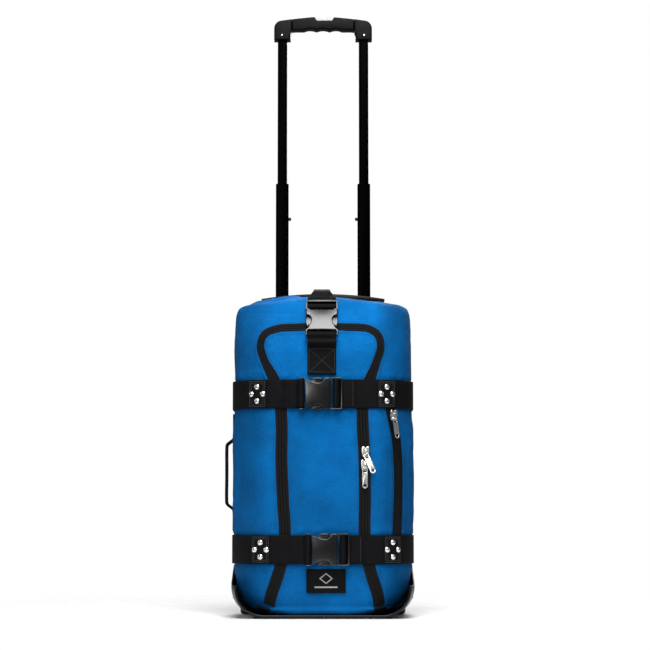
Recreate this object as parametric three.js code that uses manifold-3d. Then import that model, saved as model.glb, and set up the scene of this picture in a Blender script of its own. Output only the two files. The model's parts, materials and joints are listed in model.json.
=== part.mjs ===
// Soft-sided rolling bag: fabric body on a moulded base tray, two wheels, a two-stage telescoping
// handle, three buckled compression straps, riveted strap patches, zips and grab handles.
// Millimetres, +Z up, the front faces -Y, the origin is on the floor under the middle of the bag.
import * as THREE from "three";
import { mergeVertices } from "three/addons/utils/BufferGeometryUtils.js";
import Module from "manifold-3d";

const wasm = await Module();
wasm.setup();

// ---------------------------------------------------------------- driving dimensions
const HALF_WIDTH = 155.5; // fabric body, where the straps pull it in
const FRONT_Y = -98;
const BACK_Y = 84;
const BODY_BOTTOM = 8;
const BODY_TOP = 569;
const FRONT_RADIUS = 72; // vertical edges, seen from above
const BACK_RADIUS = 26;
const SHOULDER_Z = 457; // where the front starts to curve back towards the top
const SHOULDER_DEPTH = 90;
const CROWN_DROP = 17; // how much lower the top is at CROWN_HALF than in the middle
const CROWN_HALF = 146;
const TOP_CORNER_Z = 536;
const TOP_CORNER_RADIUS = 14;
const FOOT_TAPER_Z = 94; // below this the fabric narrows towards the tray
const FOOT_ROUND_Z = 60;
const FOOT_HALF_WIDTH = 151.5;
const FOOT_ROUND_WIDTH = 57;
const WALL = 3;

const GAP = 0.4; // between neighbouring pieces that touch on the real bag
const TAPE_LIFT = 0.5;
const TAPE_THICK = 1.3;
const WEB_WIDTH = 50; // 2 inch webbing
const WEB_THICK = 2.2;
const WEB_LIFT = 2.8; // straps lie over the zip tapes
const PATCH_THICK = 1.6; // second layer of webbing at the rivets
const UPPER_STRAP_Z = 389;
const LOWER_STRAP_Z = 119;

const TUBE_X = 75; // handle tubes, off the middle
const TUBE_Y = 70;
const OUTER_TUBE = { width: 28, depth: 21, wall: 1.6, bottom: 40.4, top: 530 };
const MIDDLE_TUBE = { width: 23.5, depth: 16.6, wall: 1.2, bottom: 300, top: 785.5 };
const INNER_TUBE = { width: 17.7, depth: 12.2, wall: 1.2, bottom: 697, top: 1074 };
const GRIP = { halfWidth: 90.5, depth: 26, bottom: 1054, legWidth: 30, palm: 1072.5, top: 1098 };
const BUTTON = { width: 34, depth: 14, pocket: 13, travel: 3 }; // release button in the top of the grip
const CUP = { halfWidth: 97, front: 55, back: 85, floor: 534, wall: 3 }; // the grip drops into it
const BEZEL = { halfWidth: 112, front: 47, back: 88.5, endTop: 571, middleTop: 580, thick: 5 };
const PIN_SLOT_BOTTOM = 440; // the outer tubes are slotted above this, for the lock pins
const LOCK_PIN = { z: 720.6, radius: 3, inWall: 1.4, proud: 4.6 };

const TRAY = {
  front: -96,
  back: 93,
  frontHalf: 152.8,
  half: 160.8,
  cornerRadius: 50,
  wall: 3,
  rimRadius: 2.6,
  bottomFront: 2.8,
  bottomBack: 4.5,
  topFront: 56,
  topBack: 90,
};
const WHEEL = { x: 138, y: 74, radius: 35, width: 22, bore: 4.5 };
const WELL = { inner: 125, outer: 151, radius: 40 }; // the space round each wheel
const HOUSING = { inner: 122.5, radius: 43 }; // the moulding round that space
const BRACKET = { width: 184, depth: 19, bottom: 16 }; // holds the outer tubes on the tray
const PANEL = { width: 276, height: 400, z: 322 }; // padded panel on the back
const BOARD = { halfWidth: 152, front: 48.6, back: 51, bottom: 12, top: 552 };
const NAME_PATCH = { x: 5.4, z: 65, width: 68, height: 41 };
const AXLE = { radius: 4, headRadius: 7, inner: 121, headInner: 161.2, end: 163.3 };

// ---------------------------------------------------------------- general helpers
const group = new THREE.Group();

const material = (colour, roughness, metalness = 0) =>
  new THREE.MeshStandardMaterial({ color: colour, roughness, metalness });
const MATERIALS = {
  fabric: material(0x0a5ea8, 0.9),
  panel: material(0x17181a, 0.9),
  webbing: material(0x1b1b1d, 0.85),
  zip: material(0x161617, 0.8),
  buckle: material(0x222226, 0.35),
  nickel: material(0xd6d3cc, 0.25, 1),
  moulding: material(0x101112, 0.5),
  tube: material(0x050506, 0.3, 0.6),
  grip: material(0x141414, 0.55),
  tyre: material(0x1a1a1a, 0.8),
  hub: material(0x3a3c40, 0.5),
  label: material(0x121212, 0.6),
  steel: material(0x9a9a9a, 0.35, 1),
};

function addMesh(name, shape, look, parent = group) {
  const mesh = new THREE.Mesh(geometryOf(shape), MATERIALS[look]);
  mesh.name = name;
  parent.add(mesh);
  return mesh;
}

// A closed three.js geometry as a solid that can be cut and joined.
function solid(geometry) {
  const bare = geometry.index ? geometry.toNonIndexed() : geometry.clone();
  for (const key of Object.keys(bare.attributes)) if (key !== "position") bare.deleteAttribute(key);
  const merged = mergeVertices(bare, 1e-3);
  return new wasm.Manifold(
    new wasm.Mesh({
      numProp: 3,
      vertProperties: merged.attributes.position.array,
      triVerts: new Uint32Array(merged.index.array),
    }),
  );
}

function geometryOf(made) {
  const mesh = made.getMesh();
  const stride = mesh.numProp;
  const positions = new Float32Array(mesh.numVert * 3);
  for (let i = 0; i < mesh.numVert; i++)
    positions.set(mesh.vertProperties.subarray(i * stride, i * stride + 3), i * 3);
  return new THREE.BufferGeometry()
    .setAttribute("position", new THREE.BufferAttribute(positions, 3))
    .setIndex(new THREE.BufferAttribute(mesh.triVerts, 1));
}

const joined = (first, ...rest) => rest.reduce((a, b) => a.add(b), first);
const cut = (first, ...rest) => rest.reduce((a, b) => a.subtract(b), first);

// A box between two corners, whose values can be in either order.
function box(x0, x1, y0, y1, z0, z1) {
  const geometry = new THREE.BoxGeometry(Math.abs(x1 - x0), Math.abs(y1 - y0), Math.abs(z1 - z0));
  return solid(geometry.translate((x0 + x1) / 2, (y0 + y1) / 2, (z0 + z1) / 2));
}

// A cylinder along X, between two x values given in either order.
function rodX(radius, x0, x1, y, z, segments = 14) {
  const geometry = new THREE.CylinderGeometry(radius, radius, Math.abs(x1 - x0), segments);
  return solid(geometry.rotateZ(Math.PI / 2).translate((x0 + x1) / 2, y, z));
}

const shapeOf = (points) => new THREE.Shape(points.map(([a, b]) => new THREE.Vector2(a, b)));

function extrude(shape, depth) {
  return new THREE.ExtrudeGeometry(shape, { depth, bevelEnabled: false, curveSegments: 2 });
}

// An outline drawn in X and Z, extruded along Y between two values.
function extrudeY(shape, y0, y1) {
  return solid(extrude(shape, y1 - y0).rotateX(Math.PI / 2).translate(0, y1, 0));
}

// An outline drawn in Y and Z, extruded along X between two values.
function extrudeX(shape, x0, x1) {
  const toXYZ = new THREE.Matrix4().set(0, 0, 1, x0, 1, 0, 0, 0, 0, 1, 0, 0, 0, 0, 0, 1);
  return solid(extrude(shape, x1 - x0).applyMatrix4(toXYZ));
}

// An outline drawn in X and Y, extruded along Z between two values.
const extrudeZ = (shape, z0, z1) => solid(extrude(shape, z1 - z0).translate(0, 0, z0));

function roundedRect(width, height, radius) {
  const x = width / 2;
  const y = height / 2;
  const shape = new THREE.Shape();
  shape.moveTo(-x + radius, -y);
  shape.lineTo(x - radius, -y);
  shape.absarc(x - radius, -y + radius, radius, -Math.PI / 2, 0);
  shape.lineTo(x, y - radius);
  shape.absarc(x - radius, y - radius, radius, 0, Math.PI / 2);
  shape.lineTo(-x + radius, y);
  shape.absarc(-x + radius, y - radius, radius, Math.PI / 2, Math.PI);
  shape.lineTo(-x, -y + radius);
  shape.absarc(-x + radius, -y + radius, radius, Math.PI, Math.PI * 1.5);
  return shape;
}

// Points moved sideways along a line's own normals, to its left for a positive distance.
function offsetLine(points, distance, closed = false) {
  const count = points.length;
  return points.map(([x, y], i) => {
    const before = points[closed ? (i + count - 1) % count : Math.max(i - 1, 0)];
    const after = points[closed ? (i + 1) % count : Math.min(i + 1, count - 1)];
    const into = unit2(x - before[0], y - before[1]);
    const out = unit2(after[0] - x, after[1] - y);
    const a = into ?? out;
    const b = out ?? into;
    const mid = unit2(a[0] + b[0], a[1] + b[1]);
    const stretch = distance / Math.max(0.4, mid[0] * a[0] + mid[1] * a[1]);
    return [x - mid[1] * stretch, y + mid[0] * stretch];
  });
}

function unit2(x, y) {
  const length = Math.hypot(x, y);
  return length > 1e-9 ? [x / length, y / length] : null;
}

// The outline of a strap of even thickness that follows a line of points.
const thickLine = (points, thick) =>
  shapeOf([...offsetLine(points, thick / 2), ...offsetLine(points, -thick / 2).reverse()]);

// Points on an arc, angles in degrees, both ends included.
function arc(cx, cy, radius, from, to, steps) {
  return Array.from({ length: steps + 1 }, (_, i) => {
    const a = THREE.MathUtils.degToRad(from + ((to - from) * i) / steps);
    return [cx + radius * Math.cos(a), cy + radius * Math.sin(a)];
  });
}

// The triangles that fill a flat ring of points.
function fillRing(ring) {
  const extent = (k) => Math.max(...ring.map((p) => p[k])) - Math.min(...ring.map((p) => p[k]));
  const [a, b, c] = [0, 1, 2].map(extent);
  const [u, v] = a <= b && a <= c ? [1, 2] : b <= c ? [0, 2] : [0, 1];
  const flat = ring.map((p) => new THREE.Vector2(p[u], p[v]));
  const turned = THREE.ShapeUtils.isClockWise(flat);
  if (turned) flat.reverse();
  const faces = THREE.ShapeUtils.triangulateShape(flat, []);
  return faces.map((face) => (turned ? face.map((i) => ring.length - 1 - i).reverse() : face));
}

// A closed skin over rings of points that all have the same count, with filled ends.
function loft(rings) {
  const count = rings[0].length;
  const last = (rings.length - 1) * count;
  const faces = [];
  for (let r = 0; r + 1 < rings.length; r++)
    for (let i = 0; i < count; i++) {
      const a = r * count + i;
      const b = r * count + ((i + 1) % count);
      faces.push([a, b, b + count], [a, b + count, a + count]);
    }
  const start = fillRing(rings[0]);
  const edges = new Set(start.flatMap(([a, b, c]) => [`${a},${b}`, `${b},${c}`, `${c},${a}`]));
  const flip = ([a, b, c]) => [a, c, b];
  const sameWay = edges.has("0,1");
  faces.push(...(sameWay ? start.map(flip) : start));
  const end = fillRing(rings.at(-1));
  const endEdges = new Set(end.flatMap(([a, b, c]) => [`${a},${b}`, `${b},${c}`, `${c},${a}`]));
  faces.push(...(endEdges.has("0,1") ? end : end.map(flip)).map((face) => face.map((i) => i + last)));
  const build = (list) => {
    const geometry = new THREE.BufferGeometry();
    geometry.setAttribute("position", new THREE.Float32BufferAttribute(rings.flat(2), 3));
    return solid(geometry.setIndex(list.flat()));
  };
  const made = build(faces);
  return made.volume() > 0 ? made : build(faces.map(flip));
}

// ---------------------------------------------------------------- the body's surface
function halfWidthAt(z) {
  if (z < FOOT_ROUND_Z) {
    const t = (FOOT_ROUND_Z - z) / (FOOT_ROUND_Z - BODY_BOTTOM);
    return FOOT_HALF_WIDTH - FOOT_ROUND_WIDTH * (1 - Math.sqrt(Math.max(0, 1 - t * t)));
  }
  if (z < FOOT_TAPER_Z) {
    const t = (z - FOOT_ROUND_Z) / (FOOT_TAPER_Z - FOOT_ROUND_Z);
    return FOOT_HALF_WIDTH + (HALF_WIDTH - FOOT_HALF_WIDTH) * t * (2 - t);
  }
  const crown = CROWN_HALF * Math.sqrt(Math.max(0, BODY_TOP - z) / CROWN_DROP);
  if (z <= TOP_CORNER_Z) return HALF_WIDTH;
  const t = Math.min(1, (z - TOP_CORNER_Z) / (TOP_CORNER_RADIUS * 1.2));
  const corner = HALF_WIDTH - TOP_CORNER_RADIUS * (1 - Math.sqrt(1 - t * t));
  return Math.min(corner, crown);
}

function frontAt(z) {
  if (z > SHOULDER_Z) {
    const t = Math.min(1, (z - SHOULDER_Z) / (BODY_TOP - SHOULDER_Z));
    return FRONT_Y + SHOULDER_DEPTH * (1 - Math.sqrt(1 - t * t));
  }
  if (z > FOOT_TAPER_Z) return FRONT_Y;
  const t = (FOOT_TAPER_Z - z) / (FOOT_TAPER_Z - BODY_BOTTOM);
  return FRONT_Y + 5 * t * t + 12 * Math.max(0, (18 - z) / 10) ** 2;
}

function cornerRadiusAt(z) {
  return Math.min(FRONT_RADIUS, halfWidthAt(z) * 0.8);
}

// The height's outline seen from above, from the middle of the back round by +X, offset outwards.
function outlineAt(z, offset) {
  const w = halfWidthAt(z) + offset;
  const front = frontAt(z) - offset;
  const back = BACK_Y + offset;
  const rf = Math.max(4, cornerRadiusAt(z) + offset);
  const rb = Math.max(3, Math.min(BACK_RADIUS, halfWidthAt(z) * 0.4) + offset);
  const half = [
    [0, back],
    ...arc(w - rb, back - rb, rb, 90, 0, 3),
    ...arc(w - rf, front + rf, rf, 0, -90, 7),
    [(w - rf) / 2, front],
  ];
  const mirrored = half.slice(1).reverse().map(([x, y]) => [-x, y]);
  return [...half, [0, front], ...mirrored];
}

const BODY_LEVELS = [
  8, 11, 16, 24, 34, 46, 60, 76, 94, 457, 475, 492, 508, 522, 534, 543, 550, 556, 561, 565, 568.5,
];
const INNER_LEVELS = BODY_LEVELS.filter((_, i) => i % 2 === 0);

// The whole body as a solid, moved in from the true surface by an even distance.
function bodySolid(inset, levels = BODY_LEVELS) {
  const bottom = levels[0];
  const top = levels.at(-1);
  const squeeze = (z) => bottom + inset + ((z - bottom) * (top - bottom - 2 * inset)) / (top - bottom);
  return loft(levels.map((z) => outlineAt(z, -inset).map(([x, y]) => [x, y, squeeze(z)])));
}

// The front surface's depth at a place seen from the front.
function frontSurface(x, z) {
  const r = cornerRadiusAt(z);
  const past = Math.abs(x) - (halfWidthAt(z) - r);
  const front = frontAt(z);
  if (past <= 0) return front;
  return front + r - Math.sqrt(Math.max(0, r * r - past * past));
}

function surfacePoint(x, z) {
  const step = 0.5;
  const point = new THREE.Vector3(x, frontSurface(x, z), z);
  const alongX = new THREE.Vector3(2 * step, frontSurface(x + step, z) - frontSurface(x - step, z), 0);
  const alongZ = new THREE.Vector3(0, frontSurface(x, z + step) - frontSurface(x, z - step), 2 * step);
  return { point, normal: alongX.cross(alongZ).normalize() };
}

// A tape that follows the front surface along a line of [x, z] points, with a width at each one.
function tapeOnFront(line, widths, thick) {
  const sections = line.map(([x, z], i) => {
    const { point, normal } = surfacePoint(x, z);
    const [x0, z0] = line[Math.max(i - 1, 0)];
    const [x1, z1] = line[Math.min(i + 1, line.length - 1)];
    const along = surfacePoint(x1, z1).point.sub(surfacePoint(x0, z0).point).normalize();
    const across = new THREE.Vector3().crossVectors(normal, along);
    const edge = (side, lift) => {
      const beside = point.clone().addScaledVector(across, (side * widths[i]) / 2);
      const place = surfacePoint(beside.x, beside.z);
      return place.point.addScaledVector(place.normal, lift).toArray();
    };
    const under = [-1, 0, 1].map((side) => edge(side, TAPE_LIFT));
    const over = [1, 0, -1].map((side) => edge(side, TAPE_LIFT + thick));
    return [...under, ...over];
  });
  return loft(sections);
}

// A frame on the front surface: X to the right, Y up the surface, Z outwards, turned about Z.
function placeOnSurface(x, z, lift, turn = 0) {
  const { point, normal } = surfacePoint(x, z);
  const right = new THREE.Vector3(0, 0, 1).cross(normal).normalize();
  const up = new THREE.Vector3().crossVectors(normal, right);
  const place = new THREE.Group();
  place.position.copy(point.addScaledVector(normal, lift));
  place.quaternion.setFromRotationMatrix(new THREE.Matrix4().makeBasis(right, up, normal));
  place.rotateZ(THREE.MathUtils.degToRad(turn));
  group.add(place);
  return place;
}

// A smooth line through control points, as [a, b] pairs.
function smoothLine(points, count) {
  const places = points.map(([x, z]) => new THREE.Vector3(x, 0, z));
  const curve = new THREE.CatmullRomCurve3(places, false, "centripetal");
  return curve.getSpacedPoints(count).map((p) => [p.x, p.z]);
}

// ---------------------------------------------------------------- zip lines, seen from the front
// The main zip runs up the left side, over the top and down the right side.
const MAIN_ZIP = [
  [-93, 24], [-89.5, 40], [-81, 66], [-72, 96], [-66, 147], [-69, 200], [-72, 270], [-72, 340], [-77, 390],
  [-88, 420], [-102, 448], [-109, 474], [-102, 494], [-80, 504], [-40, 507], [0, 508], [40, 507], [78, 504.5],
  [95, 494], [101, 475], [94, 447], [82, 415], [70, 380], [69, 345], [72, 280], [73, 205], [72.5, 147],
  [79, 96], [87, 66], [94.5, 42], [97.5, 24],
];
const POCKET_ZIP = [
  [115, 380], [118, 361], [126.5, 318], [130.5, 271], [130.5, 206], [128.5, 150], [127.5, 130],
];
const TAPE_WIDTH = 21;
const TAPE_WIDTH_AT_TOP = 13.5;

const mainZipLine = smoothLine(MAIN_ZIP, 160).filter(([, z], i) => z < 75 || z > 425 || i % 6 === 0);
const mainZipWidths = mainZipLine.map(([, z]) =>
  THREE.MathUtils.lerp(TAPE_WIDTH, TAPE_WIDTH_AT_TOP, THREE.MathUtils.smoothstep(z, 400, 452)),
);

// The solid in front of the body inside the zip's line; the flap is what this takes out of the wall.
function flapPrism(inset) {
  const line = [...mainZipLine, [98, 14], [-93.5, 14]];
  return extrudeY(shapeOf(offsetLine(line, -inset, true)), -140, -30);
}

// ---------------------------------------------------------------- base tray, feet and wheels
const TRAY_TAPER = { from: -40, length: 56 }; // the tray narrows towards its front over this depth
const taperAt = (y) => THREE.MathUtils.clamp((TRAY_TAPER.from - y) / TRAY_TAPER.length, 0, 1);
const trayHalfAt = (y) => TRAY.half - (TRAY.half - TRAY.frontHalf) * taperAt(y) ** 2;
const trayShare = (y) => (y - TRAY.front) / (TRAY.back - TRAY.front);
const trayBottomAt = (y) => THREE.MathUtils.lerp(TRAY.bottomFront, TRAY.bottomBack, trayShare(y));
const riseAt = (y) => THREE.MathUtils.smoothstep(y, TRAY.front + 20, TRAY.back - 20);
const trayTopAt = (y) => THREE.MathUtils.lerp(TRAY.topFront, TRAY.topBack, riseAt(y));

// The tray's U-shaped outline at a depth, from the left edge down and up to the right edge.
function trayLine(y, inset) {
  const half = trayHalfAt(y) - inset;
  const low = trayBottomAt(y) + inset;
  const r = TRAY.cornerRadius - inset;
  const right = [...arc(half - r, low + r, r, -90, 0, 6), [half, trayTopAt(y)]];
  return [...right.map(([x, z]) => [-x, z]).reverse(), [0, low], ...right];
}

function trayShell() {
  const depths = [TRAY.front, -78, -60, -40, -12, 16, 44, 70, TRAY.back - 1];
  return loft(
    depths.map((y) => [...trayLine(y, 0), ...trayLine(y, TRAY.wall).reverse()].map(([x, z]) => [x, y, z])),
  );
}

// The rounded bead along the tray's front edge.
function trayRim() {
  const line = trayLine(TRAY.front, TRAY.wall / 2);
  const bead = arc(0, 0, TRAY.rimRadius, 0, 315, 7);
  return loft(
    line.map(([x, z], i) => {
      const [x0, z0] = line[Math.max(i - 1, 0)];
      const [x1, z1] = line[Math.min(i + 1, line.length - 1)];
      const [ax, az] = unit2(x1 - x0, z1 - z0);
      return bead.map(([across, back]) => [x - az * across, TRAY.front + back, z + ax * across]);
    }),
  );
}

function wheelHousing(side, grow) {
  const x0 = side * (HOUSING.inner - grow);
  const x1 = side * TRAY.half;
  const radius = HOUSING.radius + grow;
  return joined(
    rodX(radius, x0, x1, WHEEL.y, WHEEL.radius, 20),
    box(x0, x1, WHEEL.y - radius, TRAY.back - 1, trayBottomAt(40), WHEEL.radius),
    box(x0, x1, WHEEL.y, TRAY.back - 1, WHEEL.radius, WHEEL.radius + radius),
  );
}

function wheelWell(side) {
  const x0 = side * WELL.inner;
  const x1 = side * WELL.outer;
  const back = WHEEL.y + 60;
  return joined(
    rodX(WELL.radius, x0, x1, WHEEL.y, WHEEL.radius, 20),
    box(x0, x1, WHEEL.y - WELL.radius, back, -10, WHEEL.radius),
    box(x0, x1, WHEEL.y, back, WHEEL.radius - 1, WHEEL.radius + WELL.radius),
  );
}

function baseTray() {
  const backLine = trayLine(TRAY.back, 0);
  const backWall = extrudeY(shapeOf(backLine), TRAY.back - TRAY.wall, TRAY.back);
  const inside = loft(
    [TRAY.back - 70, TRAY.back - 1].map((y) => trayLine(TRAY.back, 1).map(([x, z]) => [x, y, z])),
  );
  const sides = [1, -1];
  const housings = sides.map((side) => wheelHousing(side, 0).intersect(inside));
  const shell = joined(trayShell(), trayRim(), backWall, ...housings);
  const holeRadius = AXLE.radius + GAP;
  const axleHoles = sides.map((side) => rodX(holeRadius, side * 110, side * 170, WHEEL.y, WHEEL.radius));
  return cut(shell, ...sides.map(wheelWell), ...axleHoles);
}

addMesh("base_tray", baseTray(), "moulding");

for (const [side, word] of [[-1, "left"], [1, "right"]]) {
  const x = side * 98;
  const foot = extrudeZ(roundedRect(44, 16, 5), 0, TRAY.bottomFront - GAP);
  addMesh(`foot_${word}`, foot.translate([x, -80, 0]), "tyre");
}

// A ring with a rounded tread, spinning about X.
function latheX(profile, x, y, z, segments) {
  const points = profile.map(([radius, along]) => new THREE.Vector2(radius, along));
  const geometry = new THREE.LatheGeometry([...points, points[0]], segments);
  const made = solid(geometry.rotateZ(-Math.PI / 2).translate(x, y, z));
  return made.volume() > 0 ? made : solid(flipped(geometry));
}

function flipped(geometry) {
  const index = geometry.index.array;
  for (let i = 0; i < index.length; i += 3) [index[i + 1], index[i + 2]] = [index[i + 2], index[i + 1]];
  return geometry;
}

for (const [side, word] of [[-1, "left"], [1, "right"]]) {
  const at = [side * WHEEL.x, WHEEL.y, WHEEL.radius];
  const half = WHEEL.width / 2;
  const tread = arc(WHEEL.radius - 9, 0, 9, -75, 75, 4).map(([r, a]) => [r, (a * half) / 9]);
  addMesh(`tyre_${word}`, latheX([[22.2, half - 1], [22.2, 1 - half], ...tread], ...at, 28), "tyre");
  const hub = [
    [WHEEL.bore, -half - 0.5], [9, -half - 0.5], [10, -half + 3], [18, -half + 3], [21.6, -half + 1.5],
    [21.6, half - 1.5], [18, half - 3], [10, half - 3], [9, half + 0.5], [WHEEL.bore, half + 0.5],
  ];
  addMesh(`hub_${word}`, latheX(hub, ...at, 18), "hub");
  const shank = rodX(AXLE.radius, side * AXLE.inner, side * (AXLE.end - 1), WHEEL.y, WHEEL.radius);
  const head = rodX(AXLE.headRadius, side * AXLE.headInner, side * AXLE.end, WHEEL.y, WHEEL.radius);
  addMesh(`axle_${word}`, shank.add(head), "steel");
}

// ---------------------------------------------------------------- telescoping handle
function tube({ width, depth, wall, bottom, top }, x) {
  const ring = cut(
    extrudeZ(roundedRect(width, depth, 4), bottom, top),
    extrudeZ(roundedRect(width - 2 * wall, depth - 2 * wall, 3), bottom - 1, top + 1),
  );
  return ring.translate([x, TUBE_Y, 0]);
}


for (const [side, word] of [[-1, "left"], [1, "right"]]) {
  const x = side * TUBE_X;
  const slotEnds = [x - side * 8, x - side * 30];
  const slot = box(...slotEnds, TUBE_Y - 4, TUBE_Y + 4, PIN_SLOT_BOTTOM, OUTER_TUBE.top + 5);
  addMesh(`outer_tube_${word}`, cut(tube(OUTER_TUBE, x), slot), "tube");
  const pinHole = rodX(LOCK_PIN.radius + GAP, ...slotEnds, TUBE_Y, LOCK_PIN.z);
  addMesh(`middle_tube_${word}`, cut(tube(MIDDLE_TUBE, x), pinHole), "tube");
  addMesh(`inner_tube_${word}`, tube(INNER_TUBE, x), "tube");
  const start = x - side * (MIDDLE_TUBE.width / 2 - LOCK_PIN.inWall);
  const end = x - side * (MIDDLE_TUBE.width / 2 + LOCK_PIN.proud);
  addMesh(`lock_pin_${word}`, rodX(LOCK_PIN.radius, start, end, TUBE_Y, LOCK_PIN.z), "moulding");
}

const bracketShape = roundedRect(BRACKET.width, BRACKET.depth, 3);
const bracket = extrudeZ(bracketShape, BRACKET.bottom, OUTER_TUBE.bottom - GAP);
addMesh("tube_bracket", bracket.translate([0, TUBE_Y, 0]), "moulding");

// Crowned plate over the top with a cup below it that the grip drops into.
function handleBezel() {
  const { halfWidth, front, back, endTop, middleTop, thick } = BEZEL;
  const rise = middleTop - endTop;
  const top = Array.from({ length: 13 }, (_, i) => {
    const x = halfWidth - (2 * halfWidth * i) / 12;
    return [x, endTop + rise * (1 - (x / halfWidth) ** 2)];
  });
  const plate = extrudeY(shapeOf([...top, ...top.map(([x, z]) => [x, z - thick]).reverse()]), front, back);
  const outside = box(
    -CUP.halfWidth - CUP.wall, CUP.halfWidth + CUP.wall,
    CUP.front - CUP.wall, CUP.back + CUP.wall,
    CUP.floor - CUP.wall, endTop,
  );
  const recess = extrudeZ(roundedRect(2 * CUP.halfWidth, CUP.back - CUP.front, 8), CUP.floor, middleTop + 5)
    .translate([0, (CUP.front + CUP.back) / 2, 0]);
  const holes = [-1, 1].flatMap((side) => [
    extrudeZ(roundedRect(MIDDLE_TUBE.width + 0.8, MIDDLE_TUBE.depth + 0.8, 4), CUP.floor - 10, CUP.floor + 10)
      .translate([side * TUBE_X, TUBE_Y, 0]),
    box(side * 56, side * 66, TUBE_Y - 4, TUBE_Y + 4, CUP.floor - 10, CUP.floor + 10),
  ]);
  return cut(plate.add(outside), recess, ...holes);
}
addMesh("handle_bezel", handleBezel(), "moulding");

function gripOutline() {
  const { halfWidth, bottom, legWidth, palm, top } = GRIP;
  const legIn = halfWidth - legWidth;
  const scallops = Array.from({ length: 25 }, (_, i) => {
    const x = -42 + (84 * i) / 24;
    return [x, palm + (Math.abs(x) < 34 ? 2.6 * Math.abs(Math.cos((Math.PI * x) / 24)) : 0)];
  });
  const half = [
    [legIn, bottom], [halfWidth, bottom], [halfWidth, top - 22],
    ...arc(halfWidth - 15, top - 22, 15, 15, 75, 4), [45, top - 3], [20, top - 0.6],
  ];
  const left = half.map(([x, z]) => [-x, z]).reverse();
  const underside = [[-legIn + 3, palm - 4], [-52, palm], ...scallops, [52, palm], [legIn - 3, palm - 4]];
  return [...underside, ...half, ...left];
}

function grip() {
  const y0 = TUBE_Y - GRIP.depth / 2;
  const body = extrudeY(shapeOf(gripOutline()), y0, y0 + GRIP.depth);
  const bore = roundedRect(INNER_TUBE.width + 2 * GAP, INNER_TUBE.depth + 2 * GAP, 4);
  const sockets = [-1, 1].map((side) =>
    extrudeZ(bore, GRIP.bottom - 5, INNER_TUBE.top + GAP).translate([side * TUBE_X, TUBE_Y, 0]),
  );
  const pocketShape = roundedRect(BUTTON.width + 1, BUTTON.depth + 1, 3);
  const pocket = extrudeZ(pocketShape, GRIP.top - BUTTON.pocket, GRIP.top + 5).translate([0, TUBE_Y, 0]);
  const pinHoles = [-1, 1].map((side) =>
    solid(new THREE.CylinderGeometry(2.6, 2.6, 5, 14).translate(side * (TUBE_X + 1), y0, GRIP.bottom + 9)),
  );
  return cut(body, ...sockets, pocket, ...pinHoles);
}
addMesh("grip", grip(), "grip");
const buttonBottom = GRIP.top - BUTTON.pocket + BUTTON.travel + 0.5;
const button = extrudeZ(roundedRect(BUTTON.width, BUTTON.depth, 2.6), buttonBottom, GRIP.top - 2.5);
addMesh("grip_button", button.translate([0, TUBE_Y, 0]), "hub");

// ---------------------------------------------------------------- fabric body, flap and boards
const wall = cut(bodySolid(0), bodySolid(WALL, INNER_LEVELS));
const housingRoom = [-1, 1].map((side) => wheelHousing(side, 0.6));
const cupHalf = CUP.halfWidth + CUP.wall + GAP;
const bezelHalf = BEZEL.halfWidth + GAP;
const cupRoom = joined(
  box(-cupHalf, cupHalf, CUP.front - CUP.wall - GAP, 110, CUP.floor - CUP.wall - 1, 620),
  box(-bezelHalf, bezelHalf, BEZEL.front - GAP, 110, BEZEL.endTop - BEZEL.thick - 1, 620),
);
addMesh("main_shell", cut(wall, flapPrism(0), ...housingRoom, cupRoom), "fabric");
addMesh("front_flap", wall.intersect(flapPrism(0.9)), "fabric");
const panel = extrudeY(roundedRect(PANEL.width, PANEL.height, 22), BACK_Y + GAP, BACK_Y + 4);
addMesh("back_panel", panel.translate([0, 0, PANEL.z]), "panel");

const boardSlab = box(-BOARD.halfWidth, BOARD.halfWidth, BOARD.front, BOARD.back, BOARD.bottom, BOARD.top);
addMesh("frame_board", cut(boardSlab.intersect(bodySolid(WALL + 1, INNER_LEVELS)), ...housingRoom), "hub");

// ---------------------------------------------------------------- zips
addMesh("main_zip", tapeOnFront(mainZipLine, mainZipWidths, TAPE_THICK), "zip");
const pocketLine = smoothLine(POCKET_ZIP, 12);
addMesh("pocket_zip", tapeOnFront(pocketLine, pocketLine.map(() => 19), TAPE_THICK), "zip");

for (const [word, x, z, turn] of [["left", -100.8, 19, -21], ["right", 96.5, 19, 17]]) {
  const place = placeOnSurface(x, z, 4.2, turn);
  addMesh(`zip_end_tab_${word}`, extrudeZ(roundedRect(22, 10.5, 1.5), 0, WEB_THICK), "webbing", place);
}

// ---------------------------------------------------------------- horizontal straps
// A place on the body's plan outline at strap height: how far round from the front middle, how far out.
function onOutline(round, lift) {
  const side = Math.sign(round) || 1;
  const s = Math.abs(round);
  const flat = HALF_WIDTH - FRONT_RADIUS;
  const bend = (FRONT_RADIUS * Math.PI) / 2;
  if (s <= flat) return [side * s, FRONT_Y - lift];
  if (s <= flat + bend) {
    const a = (s - flat) / FRONT_RADIUS;
    const r = FRONT_RADIUS + lift;
    return [side * (flat + r * Math.sin(a)), FRONT_Y + FRONT_RADIUS - r * Math.cos(a)];
  }
  return [side * (HALF_WIDTH + lift), FRONT_Y + FRONT_RADIUS + (s - flat - bend)];
}

const SIDE_END = 281; // how far round the straps run, to the back seam
const STRAP_STEPS = 22;

// A strap's line in plan, from a place near the buckle round to the back seam.
function bandLine(side, start) {
  return Array.from({ length: STRAP_STEPS + 1 }, (_, i) =>
    onOutline(side * THREE.MathUtils.lerp(start, SIDE_END, i / STRAP_STEPS), WEB_LIFT + WEB_THICK / 2),
  );
}

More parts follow.
